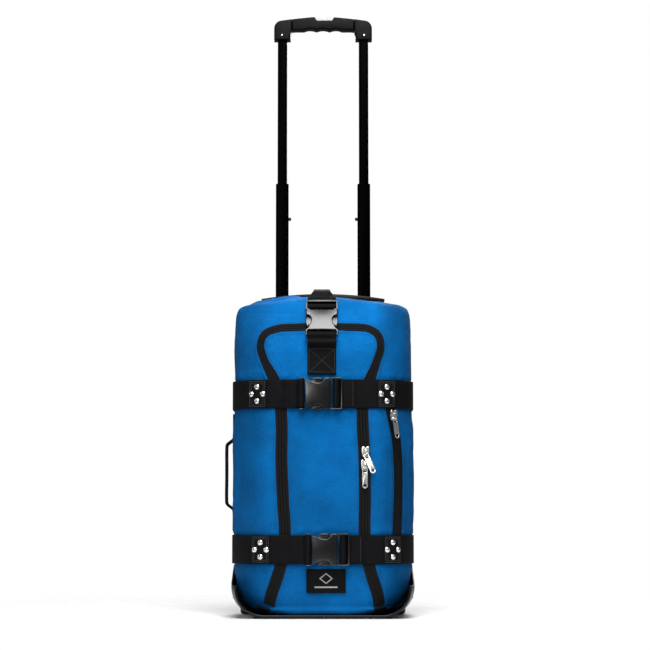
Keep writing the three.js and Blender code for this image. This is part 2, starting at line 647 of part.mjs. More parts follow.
// One strap with its loop at the buckle and its doubled patch, drawn in plan.
function strap(side, start, patch, loop, zMiddle) {
  const [z0, z1] = [zMiddle - WEB_WIDTH / 2, zMiddle + WEB_WIDTH / 2];
  const band = extrudeZ(thickLine([...loop, ...bandLine(side, start)], WEB_THICK), z0, z1);
  const lift = WEB_LIFT + WEB_THICK + PATCH_THICK / 2 - 0.2;
  const patchSteps = [0, 0.2, 0.4, 0.6, 0.8, 1];
  const patchLine = patchSteps.map((t) => onOutline(side * THREE.MathUtils.lerp(...patch, t), lift));
  return band.add(extrudeZ(thickLine(patchLine, PATCH_THICK + 0.4), z0 + 1, z1 - 1));
}

// ---------------------------------------------------------------- side-release buckles
// Local frame: X along the strap with the male half at +X, Y across it, Z outwards, 0 at the back.
const BUCKLE_BACK = WEB_LIFT + WEB_THICK + 0.4;
const BUCKLE_THICK = 11;
const CAVITY = [3, 8.2];
const BAR = { z: 5.1, half: 2.3, loop: 4.5, female: -23.8, male: 36.3 };
const SLOT_HALF = 25.8;
const FEMALE_EDGE = [
  [26.6, 27.8], [16, 27.6], [13.6, 22.5], [10, 19.6], [5.7, 18.6], [0, 19.2], [-5, 20.8], [-12, 24.2],
  [-20, 28], [-26, 28.4], [-28.5, 26.8],
];
const ARM_EDGE = [
  [22, 11.5], [22, 16.4], [13.2, 17], [12.6, 24], [9.5, 27.2], [5, 28], [0, 26.6], [-5, 23.2], [-9, 18.5],
  [-9, 13.5], [0, 12],
];
const SURFACE_LAYER = -(0.4 + WEB_THICK / 2); // middle of the webbing that lies on the bag
const SECOND_LAYER = 0.1 + WEB_THICK / 2;

const bothEdges = (edge) => [...edge, ...edge.map(([x, y]) => [x, -y]).reverse()];
const acrossSlot = (x0, x1, z0 = -1, z1 = BUCKLE_THICK + 1) => box(x0, x1, -SLOT_HALF, SLOT_HALF, z0, z1);

function femaleHalf() {
  const body = extrudeZ(shapeOf(bothEdges(FEMALE_EDGE)), 0, BUCKLE_THICK);
  const cavity = box(-12, 30, -24.6, 24.6, ...CAVITY);
  return cut(
    body,
    cavity,
    acrossSlot(-22, -17.2),
    acrossSlot(-32, -25.6),
    acrossSlot(-26, -20, -1, BAR.z - BAR.half),
    acrossSlot(-26, -20, BAR.z + BAR.half, BUCKLE_THICK + 1),
  );
}

function maleHalf() {
  const frame = extrudeZ(roundedRect(25.6, 56, 6), 2.8, BUCKLE_THICK - 1.4).translate([36, 0, 0]);
  const openings = [acrossSlot(27.8, 34.8), acrossSlot(37.8, 45.2), acrossSlot(34, 38.5, 7.4, BUCKLE_THICK)];
  const outside = cut(frame, ...openings);
  const below = box(20, 27.2, -30, 30, -1, CAVITY[0] + 0.5);
  const above = box(20, 27.2, -30, 30, CAVITY[1] - 0.5, BUCKLE_THICK + 1);
  const cheeks = [box(20, 27.2, 24.2, 30, -1, 12), box(20, 27.2, -30, -24.2, -1, 12)];
  const tongue = box(-8, 25, -6, 6, CAVITY[0] + 0.5, CAVITY[1] - 0.5);
  return joined(cut(outside, below, above, ...cheeks), tongue);
}

function releaseArm(side) {
  const edge = side > 0 ? ARM_EDGE : ARM_EDGE.map(([x, y]) => [x, -y]).reverse();
  return extrudeZ(shapeOf(edge), CAVITY[0] + 0.5, CAVITY[1] - 0.5);
}

function addBuckle(word, place) {
  addMesh(`${word}_buckle_female`, femaleHalf(), "buckle", place);
  addMesh(`${word}_buckle_male`, maleHalf(), "buckle", place);
  addMesh(`${word}_buckle_arm_a`, releaseArm(1), "buckle", place);
  addMesh(`${word}_buckle_arm_b`, releaseArm(-1), "buckle", place);
}

// The webbing's sewn loop on the female half: its free end lies beneath, the strap goes on outwards.
const femaleLoop = [
  [-47, SURFACE_LAYER], [-25, SURFACE_LAYER], [-21.4, -0.8], [-19.6, 1.6],
  ...arc(BAR.female, BAR.z, BAR.loop, -10, 170, 7),
  [-29.4, 4], [-32, SECOND_LAYER + 0.4], [-35, SECOND_LAYER], [-51, SECOND_LAYER],
];

// The webbing round the ladder bar: its tail lies on top of the strap under the outer rail.
const maleLoop = (tail) => [
  [tail, SECOND_LAYER], [45, SECOND_LAYER], [43.4, 2.3], [41.8, 5.4],
  ...arc(BAR.male, BAR.z, BAR.loop, 25, 180, 6),
  [32.3, 2], [34, -0.8],
];

const UPPER_BUCKLE_X = -14;
const LOWER_BUCKLE_X = -2;
const STRAPS = [
  { word: "upper", z: UPPER_STRAP_Z, buckle: UPPER_BUCKLE_X, tail: 71, left: [97.5, 129.5], right: [94, 126] },
  { word: "lower", z: LOWER_STRAP_Z, buckle: LOWER_BUCKLE_X, tail: 72, left: [91, 123], right: [104, 136] },
];
for (const { word, z, buckle, tail, left, right } of STRAPS) {
  const place = new THREE.Group();
  place.position.set(buckle, FRONT_Y - BUCKLE_BACK, z);
  place.rotation.x = Math.PI / 2;
  group.add(place);
  addBuckle(word, place);
  const inPlan = (loop) => loop.map(([x, out]) => [buckle + x, FRONT_Y - BUCKLE_BACK - out]);
  addMesh(`${word}_strap_left`, strap(-1, 57 - buckle, left, inPlan(femaleLoop), z), "webbing");
  addMesh(`${word}_strap_right`, strap(1, buckle + 36.5, right, inPlan(maleLoop(tail)), z), "webbing");
}

// ---------------------------------------------------------------- rivets
// Four domed rivets on one backing plate, laid over a strap patch.
function rivetSet() {
  const profile = [[0, -0.3], [4.7, -0.3], [4.7, 0.7], [3.2, 1.8], [0, 2.2], [0, -0.3]];
  const points = profile.map(([r, h]) => new THREE.Vector2(r, h));
  const dome = new THREE.LatheGeometry(points, 10).rotateX(Math.PI / 2);
  const places = [[0, 12.4], [0, -12.4], [11, 0], [-11, 0]];
  const rivets = places.map(([a, b]) => solid(dome).translate([a, b, 0.5]));
  const corners = [[-11, -3], [-3, -12], [3, -12], [11, -3], [11, 3], [3, 12], [-3, 12], [-11, 3]];
  const plate = extrudeZ(shapeOf(corners), 0, 0.6);
  return joined(plate, ...rivets);
}

for (const { word, z, left, right } of STRAPS)
  for (const [side, sideWord, [from, to]] of [[-1, "left", left], [1, "right", right]]) {
    const [x] = onOutline((side * (from + to)) / 2, 0);
    const place = placeOnSurface(x, z, WEB_LIFT + WEB_THICK + PATCH_THICK + 0.9);
    addMesh(`${word}_rivets_${sideWord}`, rivetSet(), "nickel", place);
  }

// ---------------------------------------------------------------- vertical strap and grab handles
// The body's side profile on the middle line, moved out from the surface.
function onProfile(z, lift) {
  if (z <= SHOULDER_Z) return [FRONT_Y - lift, z];
  const rise = BODY_TOP - SHOULDER_Z;
  const s = Math.min(1, (z - SHOULDER_Z) / rise);
  const c = Math.sqrt(1 - s * s);
  const [ny, nz] = unit2(-c / SHOULDER_DEPTH, s / rise);
  return [FRONT_Y + SHOULDER_DEPTH * (1 - c) + ny * lift, z + nz * lift];
}

const TOP_BUCKLE_Z = 517;
const TOP_TILT = THREE.MathUtils.degToRad(31);
const TOP_LIFT = 3.4; // the stiff buckle stands off the curved shoulder
const TOP_STRAP_X = -2;
const TOP_BUCKLE_MIDDLE = 10.2; // the buckle's middle in its own frame
const [topY, topZ] = onProfile(TOP_BUCKLE_Z, TOP_LIFT);

// From the top buckle's frame (up the strap, outwards) to a [y, z] pair of the bag.
const onTopBuckle = ([up, out]) => [
  topY + (up - TOP_BUCKLE_MIDDLE) * Math.sin(TOP_TILT) - out * Math.cos(TOP_TILT),
  topZ + (up - TOP_BUCKLE_MIDDLE) * Math.cos(TOP_TILT) + out * Math.sin(TOP_TILT),
];

const topPlace = new THREE.Group();
topPlace.position.set(TOP_STRAP_X, ...onTopBuckle([0, 0]));
topPlace.rotation.set(Math.PI / 2 - TOP_TILT, 0, 0);
topPlace.rotateZ(Math.PI / 2);
group.add(topPlace);
addBuckle("top", topPlace);

function addTopStrap(name, line) {
  const [x0, x1] = [TOP_STRAP_X - WEB_WIDTH / 2, TOP_STRAP_X + WEB_WIDTH / 2];
  addMesh(name, extrudeX(thickLine(line, WEB_THICK), x0, x1), "webbing");
}
addTopStrap("top_strap_lower", [
  ...[-40, -25].map((up) => onTopBuckle([up, SURFACE_LAYER])),
  ...femaleLoop.slice(2, -3).map(onTopBuckle),
  ...[-33, -38].map((up) => onTopBuckle([up, SECOND_LAYER + 0.6])),
  ...[468, 460, 442, 424].map((z) => onProfile(z, WEB_LIFT + WEB_THICK / 2)),
]);
addTopStrap("top_strap_upper", [
  ...maleLoop(60).map(onTopBuckle),
  ...[37, 48].map((up) => onTopBuckle([up, SURFACE_LAYER])),
  ...[557, 561, 564.5, 566.6, 568].map((z) => onProfile(z, WEB_LIFT + WEB_THICK / 2)),
]);

const TOP_HANDLE = { front: -33, back: 43, apex: 5.6, gripHalf: 14, gripThick: 4.2 };

// Webbing arch from the front of the top to the back, folded narrow where the hand holds it.
function topHandle() {
  const { front, back, apex, gripHalf, gripThick } = TOP_HANDLE;
  const base = BODY_TOP + WEB_LIFT + WEB_THICK + 1.6;
  const { lerp, smoothstep, clamp } = THREE.MathUtils;
  const stations = Array.from({ length: 19 }, (_, i) => {
    const t = i / 18;
    const fold = smoothstep(Math.min(t, 1 - t), 0, 0.26);
    return {
      y: lerp(front, back, t),
      z: base + apex * Math.sin(Math.PI * clamp((t - 0.06) / 0.88, 0, 1)) ** 0.8,
      half: lerp(WEB_WIDTH / 2, gripHalf, fold),
      thick: lerp(WEB_THICK, gripThick, fold),
    };
  });
  return loft(
    stations.map(({ y, z, half, thick }) =>
      [[-1, -1], [1, -1], [1, 1], [-1, 1]].map(([a, b]) => [TOP_STRAP_X + a * half, y, z + (b * thick) / 2]),
    ),
  );
}
addMesh("top_handle", topHandle(), "webbing");

// Webbing handle on the left side, standing off between its two sewn ends.
const SIDE_HANDLE = {
  width: 38,
  thick: 4.4,
  y: 5,
  top: 358,
  bottom: 150,
  loopTop: 308,
  loopBottom: 194,
  standOff: 16.8,
};
function sideHandle() {
  const { top, bottom, loopTop, loopBottom, standOff, width, thick, y } = SIDE_HANDLE;
  const flat = -HALF_WIDTH - thick / 2 - 0.5;
  const out = -HALF_WIDTH - standOff;
  const line = [
    [flat, top], [flat, loopTop + 9], [flat - 2, loopTop + 4], [out + 1.5, loopTop - 3], [out, loopTop - 9],
    [out + 0.6, (loopTop + loopBottom) / 2],
    [out, loopBottom + 9], [out + 1.5, loopBottom + 3], [flat - 2, loopBottom - 4], [flat, loopBottom - 9],
    [flat, bottom],
  ];
  return extrudeY(thickLine(line, thick), y - width / 2, y + width / 2);
}
addMesh("side_handle", sideHandle(), "webbing");

// ---------------------------------------------------------------- name patch
const patch = extrudeY(roundedRect(NAME_PATCH.width, NAME_PATCH.height, 1.5), FRONT_Y - 2, FRONT_Y - GAP);
addMesh("name_patch", patch.translate([NAME_PATCH.x, 0, NAME_PATCH.z]), "label");

// ---------------------------------------------------------------- zip sliders and pulls
// Local frame: X across the tape, Y up it, Z outwards, 0 at the slider's back.
const SLIDER_LIFT = TAPE_LIFT + TAPE_THICK + 0.4;
const BRIDGE = [
  [-7.5, 3.5], [-7, 6.5], [-5, 8.6], [2.5, 8.6], [4.5, 6.5], [5, 3.5], [3.4, 3.5], [3.2, 6], [2, 7.2],
  [-4.5, 7.2], [-5.7, 6], [-5.9, 3.5],
];
const PULL_HINGE = { up: -3.4, out: 5.5 };
const PULL_LENGTH = 38;

function sliderBody() {
  const corners = [
    [-4.5, -9.5], [4.5, -9.5], [6.8, -3], [6.8, 9.5], [2, 9.5], [0, 6], [-2, 9.5], [-6.8, 9.5], [-6.8, -3],
  ];
  const plate = extrudeZ(shapeOf(corners), 0, 4);
  return plate.add(extrudeX(shapeOf(BRIDGE), -1.3, 1.3));
}

// Flat pull hanging from its cross bar, which is at the local origin.
function pullTab() {
  const outline = roundedRect(10, PULL_LENGTH, 4.9);
  const end = PULL_LENGTH / 2;
  const eye = new THREE.Path().absarc(0, 5.2 - end, 2.9, 0, Math.PI * 2, true);
  const neck = shapeOf([[-2.9, end - 2], [-2.9, end - 10], [2.9, end - 10], [2.9, end - 2]]);
  outline.holes.push(eye, neck);
  return extrudeZ(outline, -0.8, 0.8).translate([0, 1 - end, 0]);
}

// "turn" leans the hanging pull to one side, "lift" stands it off the bag, both in degrees.
const SLIDERS = [
  { word: "upper", x: 74, z: 288, turn: 24, lift: 5 },
  { word: "lower", x: 73, z: 265, turn: 0, lift: 0 },
  { word: "pocket", x: 120.5, z: 352, turn: 10, lift: 0 },
];
for (const { word, x, z, turn, lift } of SLIDERS) {
  const place = placeOnSurface(x, z, SLIDER_LIFT + (word === "pocket" ? 0.9 : 0));
  addMesh(`${word}_slider`, sliderBody(), "nickel", place);
  const hinge = new THREE.Group();
  hinge.position.set(0, PULL_HINGE.up, PULL_HINGE.out);
  hinge.rotation.set(THREE.MathUtils.degToRad(-lift), 0, THREE.MathUtils.degToRad(turn), "ZXY");
  place.add(hinge);
  addMesh(`${word}_pull`, pullTab(), "nickel", hinge);
}

export default group;
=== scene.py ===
import json
import math
from contextlib import contextmanager

import bmesh
import bpy
import numpy as np
from mathutils import Matrix, Vector, noise


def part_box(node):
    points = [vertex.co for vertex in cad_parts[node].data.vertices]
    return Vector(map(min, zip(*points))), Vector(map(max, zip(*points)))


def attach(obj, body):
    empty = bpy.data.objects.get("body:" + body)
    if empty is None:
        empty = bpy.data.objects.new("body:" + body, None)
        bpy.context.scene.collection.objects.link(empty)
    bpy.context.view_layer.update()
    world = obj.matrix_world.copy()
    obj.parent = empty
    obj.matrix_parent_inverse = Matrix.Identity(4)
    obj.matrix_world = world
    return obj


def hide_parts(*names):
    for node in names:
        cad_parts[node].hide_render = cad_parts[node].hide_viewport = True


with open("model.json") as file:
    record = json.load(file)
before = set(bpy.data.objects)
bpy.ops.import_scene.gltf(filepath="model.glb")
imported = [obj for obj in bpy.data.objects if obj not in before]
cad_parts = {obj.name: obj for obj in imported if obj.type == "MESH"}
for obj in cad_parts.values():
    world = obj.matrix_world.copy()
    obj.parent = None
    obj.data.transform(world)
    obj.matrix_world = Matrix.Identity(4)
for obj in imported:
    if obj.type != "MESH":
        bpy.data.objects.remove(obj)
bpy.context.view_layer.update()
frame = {"nodes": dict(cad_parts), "record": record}

# Everything is in metres, +Z up, with the front of the bag facing -Y.
MM = 0.001
UP = Vector((0, 0, 1))
RIGHT = Vector((1, 0, 0))
BACKWARD = Vector((0, 1, 0))


def side_of(word):
    return -1 if word == "left" else 1


def centre(node):
    low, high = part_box(node)
    return (low + high) / 2


# ---------------------------------------------------------------- sizes, read off the frame
shell_low, shell_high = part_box("main_shell")
HALF_WIDTH = shell_high.x
FRONT_Y = shell_low.y
BACK_Y = shell_high.y
BODY_BOTTOM = shell_low.z
BODY_TOP = shell_high.z + 0.5 * MM
FRONT_RADIUS = 72 * MM
BACK_RADIUS = 26 * MM
SHOULDER_Z = 457 * MM
SHOULDER_DEPTH = 90 * MM
CROWN_DROP = 17 * MM
CROWN_HALF = 146 * MM
TOP_CORNER_Z = 536 * MM
TOP_CORNER_RADIUS = 14 * MM
FOOT_TAPER_Z = 94 * MM
FOOT_ROUND_Z = 60 * MM
FOOT_HALF_WIDTH = 151.5 * MM
FOOT_ROUND_WIDTH = 57 * MM

WEB_WIDTH = 50 * MM
WEB_THICK = 2.2 * MM
WEB_LIFT = 2.8 * MM
STRAP_Z = {word: centre(f"{word}_strap_left").z for word in ("upper", "lower")}


# ---------------------------------------------------------------- the body's surface, as in the frame
def half_width(z):
    z = np.asarray(z, float)
    t = np.clip((FOOT_ROUND_Z - z) / (FOOT_ROUND_Z - BODY_BOTTOM), 0, 1)
    foot = FOOT_HALF_WIDTH - FOOT_ROUND_WIDTH * (1 - np.sqrt(1 - t * t))
    t = np.clip((z - FOOT_ROUND_Z) / (FOOT_TAPER_Z - FOOT_ROUND_Z), 0, 1)
    taper = FOOT_HALF_WIDTH + (HALF_WIDTH - FOOT_HALF_WIDTH) * t * (2 - t)
    t = np.clip((z - TOP_CORNER_Z) / (TOP_CORNER_RADIUS * 1.2), 0, 1)
    corner = HALF_WIDTH - TOP_CORNER_RADIUS * (1 - np.sqrt(1 - t * t))
    crown = CROWN_HALF * np.sqrt(np.clip(BODY_TOP - z, 0, None) / CROWN_DROP)
    top = np.where(z > TOP_CORNER_Z, np.minimum(corner, crown), HALF_WIDTH)
    return np.where(z < FOOT_ROUND_Z, foot, np.where(z < FOOT_TAPER_Z, taper, top))


def front(z):
    z = np.asarray(z, float)
    t = np.clip((z - SHOULDER_Z) / (BODY_TOP - SHOULDER_Z), 0, 1)
    shoulder = SHOULDER_DEPTH * (1 - np.sqrt(1 - t * t))
    t = np.clip((FOOT_TAPER_Z - z) / (FOOT_TAPER_Z - BODY_BOTTOM), 0, 1)
    tuck = 12 * MM * np.clip((18 * MM - z) / (10 * MM), 0, None) ** 2
    return FRONT_Y + shoulder + 5 * MM * t * t + tuck


def front_surface(x, z):
    width = half_width(z)
    radius = np.minimum(FRONT_RADIUS, width * 0.8)
    past = np.clip(np.abs(x) - (width - radius), 0, radius)
    return front(z) + radius - np.sqrt(radius * radius - past * past)


def on_front(x, z):
    """The point of the front surface at x, z, and its outward normal."""
    step = 0.5 * MM
    along_x = Vector((2 * step, float(front_surface(x + step, z) - front_surface(x - step, z)), 0))
    along_z = Vector((0, float(front_surface(x, z + step) - front_surface(x, z - step)), 2 * step))
    return Vector((x, float(front_surface(x, z)), z)), along_x.cross(along_z).normalized()


def outline_at(z, steps=1):
    """The body's plan at a height, from the middle of the back round by +X, as x, y pairs."""
    width = float(half_width(z))
    near = float(front(z))
    front_round = max(4 * MM, min(FRONT_RADIUS, width * 0.8))
    back_round = max(3 * MM, min(BACK_RADIUS, width * 0.4))
    half = [(0, BACK_Y)]
    half += arc(width - back_round, BACK_Y - back_round, back_round, 90, 0, 6 * steps)
    half += arc(width - front_round, near + front_round, front_round, 0, -90, 16 * steps)
    half.append(((width - front_round) / 2, near))
    mirrored = [(-x, y) for x, y in reversed(half[1:])]
    return half + [(0, near)] + mirrored


def arc(cx, cy, radius, start, end, steps):
    """Points on an arc, angles in degrees, both ends included."""
    angles = [math.radians(start + (end - start) * i / steps) for i in range(steps + 1)]
    return [(cx + radius * math.cos(a), cy + radius * math.sin(a)) for a in angles]


def smooth_step(t):
    t = np.clip(t, 0, 1)
    return t * t * (3 - 2 * t)


def catmull(points, count):
    """Evenly spaced points on a smooth curve through control points of any dimension."""
    p = np.array(points, float)
    p = np.vstack([2 * p[0] - p[1], p, 2 * p[-1] - p[-2]])
    fine = []
    for i in range(1, len(p) - 2):
        t0, t1, t2, t3 = knots(p[i - 1 : i + 3])
        for t in np.linspace(t1, t2, 16, endpoint=False):
            a1 = blend_points(p[i - 1], p[i], t0, t1, t)
            a2 = blend_points(p[i], p[i + 1], t1, t2, t)
            a3 = blend_points(p[i + 1], p[i + 2], t2, t3, t)
            b1 = blend_points(a1, a2, t0, t2, t)
            b2 = blend_points(a2, a3, t1, t3, t)
            fine.append(blend_points(b1, b2, t1, t2, t))
    fine.append(p[-2])
    return resample(np.array(fine), count)


def knots(p):
    """Centripetal knots for four points."""
    steps = np.sqrt(np.maximum(np.linalg.norm(np.diff(p, axis=0), axis=1), 1e-9))
    return np.concatenate([[0], np.cumsum(steps)])


def blend_points(a, b, ta, tb, t):
    return (a * (tb - t) + b * (t - ta)) / (tb - ta)


def resample(points, count):
    """count points evenly spaced along a line of points."""
    points = np.array(points, float)
    run = np.concatenate([[0], np.cumsum(np.linalg.norm(np.diff(points, axis=0), axis=1))])
    wanted = np.linspace(0, run[-1], count)
    return np.stack([np.interp(wanted, run, points[:, k]) for k in range(points.shape[1])], 1)


def soften_corners(points, rounds=2):
    """Cuts each corner of an open line, keeping its ends."""
    for _ in range(rounds):
        inner = [points[0]]
        for a, b in zip(points, points[1:]):
            a, b = np.array(a, float), np.array(b, float)
            inner += [a * 0.75 + b * 0.25, a * 0.25 + b * 0.75]
        inner.append(points[-1])
        points = inner
    return [np.array(p, float) for p in points]


# ---------------------------------------------------------------- materials
class Material:
    """A small builder for procedural materials."""

    def __init__(self, name):
        self.material = bpy.data.materials.new(name)
        self.material.use_nodes = True
        self.tree = self.material.node_tree
        self.shader = self.tree.nodes["Principled BSDF"]
        self.coords = self.tree.nodes.new("ShaderNodeTexCoord")

    def node(self, kind, inputs=None, **settings):
        made = self.tree.nodes.new(kind)
        for key, value in settings.items():
            setattr(made, key, value)
        for key, value in (inputs or {}).items():
            if isinstance(value, bpy.types.NodeSocket):
                self.tree.links.new(value, made.inputs[key])
            else:
                made.inputs[key].default_value = value
        return made

    def noise(self, scale, detail=2.0, roughness=0.5, vector=None, distortion=0.0):
        vector = vector or self.coords.outputs["Object"]
        inputs = {"Vector": vector, "Scale": scale, "Detail": detail}
        inputs.update({"Roughness": roughness, "Distortion": distortion})
        return self.node("ShaderNodeTexNoise", inputs).outputs["Fac"]

    def waves(self, source, direction, scale, **inputs):
        inputs = {"Vector": self.coords.outputs[source], "Scale": scale, **inputs}
        return self.node("ShaderNodeTexWave", inputs, bands_direction=direction).outputs["Fac"]

    def stretched(self, scale, source="Object"):
        inputs = {"Vector": self.coords.outputs[source], "Scale": scale}
        return self.node("ShaderNodeMapping", inputs).outputs["Vector"]

    def math(self, operation, a, b=0.0):
        return self.node("ShaderNodeMath", {0: a, 1: b}, operation=operation).outputs[0]

    def ramp(self, factor, stops):
        made = self.node("ShaderNodeValToRGB", {"Fac": factor})
        elements = made.color_ramp.elements
        while len(elements) < len(stops):
            elements.new(0.5)
        for element, (place, colour) in zip(elements, stops):
            element.position = place
            element.color = (*colour, 1)
        return made.outputs["Color"]

    def remap(self, value, low, high):
        inputs = {"Value": value, "To Min": low, "To Max": high}
        return self.node("ShaderNodeMapRange", inputs).outputs["Result"]

    def fade(self, value, start, end, at_start, at_end):
        inputs = {"Value": value, "From Min": start, "From Max": end, "To Min": at_start, "To Max": at_end}
        return self.node("ShaderNodeMapRange", inputs, interpolation_type="SMOOTHSTEP").outputs["Result"]

    def bump(self, height, distance, strength=1.0, under=None):
        inputs = {"Height": height, "Distance": distance, "Strength": strength}
        if under is not None:
            inputs["Normal"] = under
        return self.node("ShaderNodeBump", inputs).outputs["Normal"]

    def finish(self, **inputs):
        for key, value in inputs.items():
            socket = self.shader.inputs[key.replace("_", " ")]
            if isinstance(value, bpy.types.NodeSocket):
                self.tree.links.new(value, socket)
            else:
                socket.default_value = value
        return self.material


def linear(red, green, blue):
    """An sRGB colour given from 0 to 255, as linear values."""
    return tuple(
        c / 12.92 if c <= 0.04045 else ((c + 0.055) / 1.055) ** 2.4
        for c in (red / 255, green / 255, blue / 255)
    )


def in_mm(points):
    return [(a * MM, b * MM) for a, b in points]


def shade(colour, factor):
    return tuple(min(1, c * factor) for c in colour)


def bag_fabric():
    """Dense woven nylon: a fine basket weave, a grainy colour and a soft sheen."""
    m = Material("bag_fabric")
    blue = linear(0, 101, 170)
    grain = m.noise(900, 3, 0.75)
    mottle = m.noise(14, 3, 0.55)
    mixed = m.math("ADD", m.math("MULTIPLY", grain, 0.7), m.math("MULTIPLY", mottle, 0.3))
    colour = m.ramp(mixed, [(0.34, shade(blue, 0.42)), (0.52, blue), (0.7, shade(blue, 1.7))])
    # Painted shade: the cloth is darker at the sides and towards the floor, and a little brighter higher up,
    # standing in for how the light falls.
    position = m.node("ShaderNodeSeparateXYZ", {"Vector": m.coords.outputs["Object"]})
    sides = m.fade(m.math("ABSOLUTE", position.outputs["X"]), 0.085, 0.125, 1.0, 0.66)
    low = m.fade(position.outputs["Z"], 0.08, 0.44, 0.78, 1.06)
    shading = {0: colour, "Scale": m.math("MULTIPLY", sides, low)}
    colour = m.node("ShaderNodeVectorMath", shading, operation="SCALE")
    cross = m.math("MAXIMUM", m.waves("Object", "X", 420.0), m.waves("Object", "Z", 420.0))
    threads = m.bump(m.math("ADD", cross, m.math("MULTIPLY", grain, 1.2)), 0.00022, 0.7)
    slack = m.bump(m.noise(55, 3, 0.5), 0.0011, 0.5, threads)
    rough = m.remap(grain, 0.62, 0.86)
    return m.finish(
        Base_Color=colour.outputs["Vector"], Roughness=rough, Normal=slack,
        Sheen_Weight=0.03, Sheen_Roughness=0.5,
        Sheen_Tint=(0.1, 0.5, 1.0, 1), Specular_IOR_Level=0.07,
    )


def webbing():
    """Ribbed nylon webbing. UV: across the strap, and along it in strap widths."""
    m = Material("webbing")
    ribs = m.waves("UV", "Y", 9.0, Distortion=0.25, Detail=1.0)
    threads = m.waves("UV", "X", 7.0)
    grain = m.noise(1500, 2, 0.6)
    wear = m.noise(60, 4, 0.6)
    height = m.math("ADD", m.math("MULTIPLY", ribs, threads), m.math("MULTIPLY", grain, 0.5))
    tone = m.math("ADD", m.math("MULTIPLY", height, 0.35), m.math("MULTIPLY", wear, 0.5))
    colour = m.ramp(tone, [(0.2, linear(3, 3, 4)), (0.8, linear(22, 22, 25))])
    return m.finish(
        Base_Color=colour, Roughness=m.remap(grain, 0.5, 0.75), Normal=m.bump(height, 0.0004, 0.8),
        Specular_IOR_Level=0.08,
    )


def zip_tape():
    """Coated zip tape: fine cross ribs. UV: across the tape, and along it in tape widths."""
    m = Material("zip_tape")
    ribs = m.waves("UV", "Y", 7.0)
    grain = m.noise(1300, 2, 0.6)
    height = m.math("ADD", m.math("MULTIPLY", ribs, 0.6), m.math("MULTIPLY", grain, 0.5))
    colour = m.ramp(height, [(0.2, linear(1, 1, 2)), (0.9, linear(11, 11, 13))])
    return m.finish(
        Base_Color=colour, Roughness=m.remap(grain, 0.4, 0.62), Normal=m.bump(height, 0.00025, 0.7),
        Specular_IOR_Level=0.13,
    )


def moulded(name, colour, rough=(0.35, 0.5), texture=900.0, depth=0.00012, gloss=0.5):
    """Moulded plastic with a fine spark-eroded texture and faint handling marks."""
    m = Material(name)
    pits = m.node(
        "ShaderNodeTexVoronoi", {"Vector": m.coords.outputs["Object"], "Scale": texture}
    ).outputs["Distance"]
    marks = m.noise(70, 5, 0.65)
    tint = m.ramp(marks, [(0.3, shade(colour, 0.8)), (0.75, shade(colour, 1.25))])
    return m.finish(
        Base_Color=tint, Roughness=m.remap(marks, *rough), Normal=m.bump(pits, depth, 0.5),
        Specular_IOR_Level=gloss,
    )


def metal(name, colour, rough=(0.14, 0.3), grain_scale=(400, 400, 400), depth=0.00004):
    """Plated or anodised metal with a fine grain and slight tarnish."""
    m = Material(name)
    fine = m.noise(1.0, 3, 0.6, m.stretched(grain_scale))
    patina = m.noise(90, 4, 0.6)
    tint = m.ramp(patina, [(0.3, shade(colour, 0.82)), (0.7, colour)])
    return m.finish(
        Base_Color=tint, Metallic=1.0, Roughness=m.remap(m.math("MULTIPLY", fine, patina), *rough),
        Normal=m.bump(fine, depth, 0.6),
    )


def mesh_fabric():
    """Padded spacer mesh for the back panel: a lattice of small round holes."""
    m = Material("panel_fabric")
    cells = m.node(
        "ShaderNodeTexVoronoi", {"Vector": m.coords.outputs["Object"], "Scale": 380.0, "Randomness": 0.15}
    ).outputs["Distance"]
    grain = m.noise(1200, 2, 0.6)
    colour = m.ramp(cells, [(0.15, linear(10, 10, 11)), (0.5, linear(46, 47, 50))])
    return m.finish(
        Base_Color=colour, Roughness=m.remap(grain, 0.7, 0.9), Normal=m.bump(cells, 0.0006, 0.9),
        Sheen_Weight=0.2, Sheen_Roughness=0.5,
    )


def thread(name, colour):
    m = Material(name)
    twist = m.noise(2600, 2, 0.6)
    tint = m.ramp(twist, [(0.3, shade(colour, 0.6)), (0.7, colour)])
    return m.finish(Base_Color=tint, Roughness=m.remap(twist, 0.5, 0.7), Normal=m.bump(twist, 0.0001, 0.5))


LOOKS = {
    "bag_fabric": bag_fabric(),
    "webbing": webbing(),
    "zip_tape": zip_tape(),
    "panel_fabric": mesh_fabric(),
    "buckle_plastic": moulded("buckle_plastic", linear(4, 4, 5), (0.17, 0.27), 500.0, 0.00001, 0.6),
    "moulded_plastic": moulded("moulded_plastic", linear(3, 3, 4), (0.3, 0.42), 900.0, 0.00006, 0.22),
    "board_plastic": moulded("board_plastic", linear(60, 60, 62), (0.5, 0.6)),
    "grip_plastic": moulded("grip_plastic", linear(1, 1, 1), (0.36, 0.5), 700.0, 0.00003, 0.08),
    "button_plastic": moulded("button_plastic", linear(176, 178, 180), (0.3, 0.42), 900.0, 0.00005),
    "tyre_rubber": moulded("tyre_rubber", linear(30, 30, 30), (0.6, 0.8), 1100.0, 0.00015, 0.3),
    "foot_rubber": moulded("foot_rubber", linear(26, 26, 26), (0.6, 0.8), 1100.0, 0.00015, 0.3),
    "hub_plastic": moulded("hub_plastic", linear(92, 94, 98), (0.35, 0.5)),
    "patch_plastic": moulded("patch_plastic", linear(4, 4, 5), (0.5, 0.65), 1400.0, 0.00006, 0.1),
    "nickel": metal("nickel", linear(245, 242, 236), (0.2, 0.36)),
    "anodised_tube": metal("anodised_tube", linear(3, 3, 3), (0.3, 0.4), (1500, 1500, 12), 0.000004),
    "axle_steel": metal("axle_steel", linear(170, 170, 172), (0.2, 0.4)),
}
THREADS = {
    "black": thread("thread_grey", linear(92, 92, 94)),
    "blue": thread("thread_blue", linear(5, 62, 122)),
}
